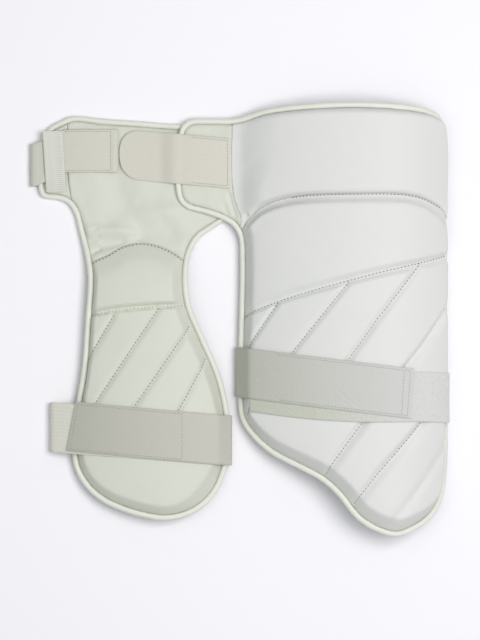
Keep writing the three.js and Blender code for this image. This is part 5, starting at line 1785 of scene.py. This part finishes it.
@dataclass
class WaistBelt:
    """The waist strap with its hook patch and keeper, and the tab that joins the two guards."""

    finishes: Finishes
    seams: Seams
    width: float = 43.0
    thickness: float = 1.8
    patch: float = 1.3
    fold: float = 7.0
    fold_radius: float = 2.6
    keeper_width: float = 20.0
    keeper_thickness: float = 1.2
    keeper_lean: float = 0.06
    tab_width: float = 50.0
    tab_length: float = 111.0
    tab_thickness: float = 1.5
    tab_round: float = 20.0
    tab_drop: float = 16.0
    tab_ends_up: tuple[float, float] = (0.912, 0.887)
    tab_sewn: float = 38.0
    fold_up: float = 0.883
    hanger_across: float = -0.04
    back_across: float = 0.92
    strap_sewn: float = 52.0
    hem: float = 5.5
    keeper_across: float = -0.14
    keeper_ends_up: tuple[float, float] = (0.817, 0.968)
    wing_edge_across: float = -0.315

    def top(self, points: np.ndarray, low: float, high: float, y_low: float, y_high: float) -> float:
        """How high some points reach within a patch of the plan."""
        near = (points[:, 0] > low) & (points[:, 0] < high) & (points[:, 1] > y_low) & (points[:, 1] < y_high)
        return float(points[near][:, 2].max())

    def build(self, outer: OuterGuard, inner: InnerGuard) -> None:
        """Builds the patch, the strap, the keeper and the joining tab."""
        arch = inner.arch
        middle_y, fold_y = arch.y(WAIST_STRAP_UP), arch.y(self.fold_up)
        end_x, hanger_x = arch.x(WAIST_END_ACROSS), arch.x(self.hanger_across)
        hanger = arch.place(inner.hanger.flat, inner.hanger.heights)
        panel = arch.place(inner.tab.flat, inner.tab.heights)
        half = self.width / 2
        level = self.top(hanger, hanger_x, end_x, middle_y - half, middle_y + half)
        run = resample(np.array([(end_x - PATCH_INSET, level), (hanger_x + 3.0, level)]), 2.0)
        patch = Band(
            "waist_hook_tape", run, self.patch, self.width - 1, lambda p: np.full(len(p), middle_y), ripple=0.0,
        )
        finish_piece(patch.make(self.finishes.hook_tape), "hook_tape", "waist_hook_patch")
        around = np.vstack([hanger, panel, inner.piping_points, patch.points])
        low_y, high_y = min(middle_y, fold_y) - half, middle_y + half
        near = (around[:, 1] > low_y) & (around[:, 1] < high_y) & (around[:, 0] < end_x)
        section = around[near][:, [0, 2]]
        left = section[:, 0].min()
        back_x = outer.arch.x(self.back_across)
        fold_x = left - self.fold + self.fold_radius + self.thickness
        turn = roller(fold_x, REST + self.fold_radius, self.fold_radius)
        path = hull(np.vstack([section, turn, [(back_x, REST)]]))
        run = stretch(path, (end_x - 2, True), (back_x - FIT, False))

        def middle(p: np.ndarray) -> np.ndarray:
            """The strap's middle: level on the tab, and lower towards its fold."""
            share = np.where(p[:, 1] > REST + 2 * FIT, smoothstep(p[:, 0], left - self.fold, hanger_x), 0)
            return fold_y + (middle_y - fold_y) * share

        strap = Band("waist_elastic", run, self.thickness, self.width, middle, hem=self.hem, seed=76)
        finish_piece(strap.make(self.finishes.waist_elastic), "elastic", "waist_strap")
        inset = half - 2.0
        back = self.strap_sewn
        strap.sew(self.seams, [(back, inset), (7.0, inset), (7.0, -inset), (back, -inset)])
        self.build_keeper(inner, strap, panel)
        self.build_tab(outer, inner, hanger)

    def build_keeper(self, inner: InnerGuard, strap: Band, panel: np.ndarray) -> None:
        """The ribbed keeper over the waist strap."""
        keeper_x = inner.arch.x(self.keeper_across)
        low, high = (inner.arch.y(up) for up in self.keeper_ends_up)
        around = np.vstack([strap.points, panel])
        near = np.abs(around[:, 0] - keeper_x) < self.keeper_width / 2
        path = hull(around[near][:, [1, 2]])
        run = stretch(path, (high, True), (low, True))
        keeper = Band(
            "keeper_webbing", run, self.keeper_thickness, self.keeper_width,
            lambda p: keeper_x - self.keeper_lean * (p[:, 0] - (low + high) / 2), along_y=True, ripple=0.1,
        )
        finish_piece(keeper.make(self.finishes.webbing), "webbing", "strap_keeper")

    def build_tab(self, outer: OuterGuard, inner: InnerGuard, hanger: np.ndarray) -> None:
        """The joining tab: sewn on the wing, over its piping, and hooked onto the hanger."""
        left = inner.arch.x(WAIST_END_ACROSS)
        left_y, right_y = (inner.arch.y(up) for up in self.tab_ends_up)
        right = left + self.tab_length
        piping_x = outer.arch.x(self.wing_edge_across)
        low_y, high_y = min(left_y, right_y) - self.tab_width / 2, max(left_y, right_y) + self.tab_width / 2
        wing = outer.arch.place(outer.wing.flat, outer.wing.heights)
        wing_top = self.top(wing, piping_x, right, low_y, high_y)
        piping_top = self.top(outer.piping_points, piping_x - 8, piping_x + 8, low_y, high_y)
        hanger_top = self.top(hanger, left - 5, piping_x + 5, low_y, high_y)
        size = PIPING_DIAMETER
        landing = piping_x - self.tab_drop
        knots = np.array([
            (right, wing_top), (piping_x + 2.5 * size, wing_top), (piping_x + 0.9 * size, piping_top),
            (piping_x - 0.6 * size, piping_top), (landing, hanger_top + 0.12 * (piping_top - hanger_top)),
            (landing - size, hanger_top), (left, hanger_top),
        ])
        run = spline(knots, False, 1.6)

        def half_width(along: np.ndarray) -> np.ndarray:
            """Half the width, rounded at the free end."""
            share = np.clip(1 - (along[-1] - along) / self.tab_round, 0, 1)
            return self.tab_width / 2 - self.tab_round * (1 - np.sqrt(np.clip(1 - share ** 2, 0, 1)))

        def middle(p: np.ndarray) -> np.ndarray:
            """The tab's middle, which leans a little."""
            return left_y + (right_y - left_y) * (p[:, 0] - left) / self.tab_length

        tab = Band(
            "joining_tape", run, self.tab_thickness, self.tab_width, middle, half_width=half_width, seed=77,
        )
        finish_piece(tab.make(self.finishes.hook_tape), "hook_tape", "joining_tab")
        inset = self.tab_width / 2 - 2.4
        back = self.tab_sewn
        tab.sew(self.seams, [(back, inset), (2.6, inset), (2.6, -inset), (back, -inset)])


@dataclass
class Studio:
    """The pale floor, the soft lights and the overhead camera."""

    camera_height: float = 5.0
    level_height: float = 0.025
    frame_height_px: float = 640.0
    floor_colour: int = 0xFAF9FD
    reach: float = 3.0
    sensor: float = 36.0

    def build(self) -> None:
        """Sets the stage."""
        self.build_floor()
        self.build_light("key", (0.72, 0.1, 1.95), (0.0, 0.0, 0.0), 1.0, 25.2, (1.0, 0.99, 0.985))
        self.build_light("overhead", (-0.3, 0.1, 2.1), (0.0, 0.0, 0.0), 1.6, 6.5, (1.0, 1.0, 1.0))
        self.build_light("fill", (-1.5, -0.2, 1.4), (0.0, 0.0, 0.0), 1.8, 2.2, (0.84, 1.0, 0.82))
        world = bpy.data.worlds.new("studio")
        world.use_nodes = True
        world.node_tree.nodes["Background"].inputs[0].default_value = linear(0xF6F8FC)
        world.node_tree.nodes["Background"].inputs[1].default_value = 0.37
        bpy.context.scene.world = world
        view = bpy.context.scene.view_settings
        view.view_transform = "Standard"
        view.look = "None"
        self.build_camera()

    def build_floor(self) -> None:
        """A plain pale floor."""
        mesh = bpy.data.meshes.new("floor")
        corners = [(self.reach * x, self.reach * y, 0) for x, y in ((-1, -1), (1, -1), (1, 1), (-1, 1))]
        mesh.from_pydata(corners, [], [(0, 1, 2, 3)])
        material, shader = blank_material("matt_paper_sweep")
        shader.inputs["Base Color"].default_value = linear(self.floor_colour)
        shader.inputs["Roughness"].default_value = 0.9
        mesh.materials.append(material)
        floor = bpy.data.objects.new("floor", mesh)
        bpy.context.scene.collection.objects.link(floor)

    def build_light(
        self,
        name: str,
        place: tuple[float, float, float],
        aim: tuple[float, float, float],
        size: float,
        power: float,
        colour: tuple[float, float, float],
    ) -> None:
        """Adds one square soft light.

        Args:
            name: the light's name.
            place: where it hangs, in metres.
            aim: what it points at.
            size: its side.
            power: its power in watts.
            colour: its linear colour.
        """
        data = bpy.data.lights.new(name, "AREA")
        data.shape = "SQUARE"
        data.size = size
        data.energy = power
        data.color = colour
        light = bpy.data.objects.new(name, data)
        light.location = place
        light.rotation_euler = (Vector(aim) - Vector(place)).to_track_quat("-Z", "Y").to_euler()
        bpy.context.scene.collection.objects.link(light)

    def build_camera(self) -> None:
        """The camera straight overhead, which frames one millimetre a pixel at the pads' middle height."""
        data = bpy.data.cameras.new("camera")
        data.sensor_fit = "VERTICAL"
        data.sensor_height = self.sensor
        distance = self.camera_height - self.level_height
        data.lens = self.sensor * distance / (self.frame_height_px * MM)
        data.clip_end = 20.0
        camera = bpy.data.objects.new("camera", data)
        camera.location = (0.0, -0.0005, self.camera_height)
        bpy.context.scene.collection.objects.link(camera)
        bpy.context.scene.camera = camera


def write_sizes() -> None:
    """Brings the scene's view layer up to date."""
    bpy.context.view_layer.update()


def main() -> None:
    """Builds the set in order and reports each piece."""
    logging.basicConfig(level=logging.INFO, format="%(name)s: %(message)s")
    finishes = Finishes()
    quilting, edging = Seams(Thread.QUILTING), Seams(Thread.EDGING)
    outer = OuterGuard(finishes, quilting)
    outer.build()
    inner = InnerGuard(finishes, quilting)
    inner.build()
    straps = LegStraps(finishes, edging)
    straps.build_outer(outer)
    straps.build_inner(inner)
    WaistBelt(finishes, edging).build(outer, inner)
    quilting.make(finishes.quilting_thread, finishes.hole_shade)
    edging.make(finishes.edging_thread, finishes.hole_shade)
    Studio().build()
    write_sizes()


if __name__ == "__main__":
    main()
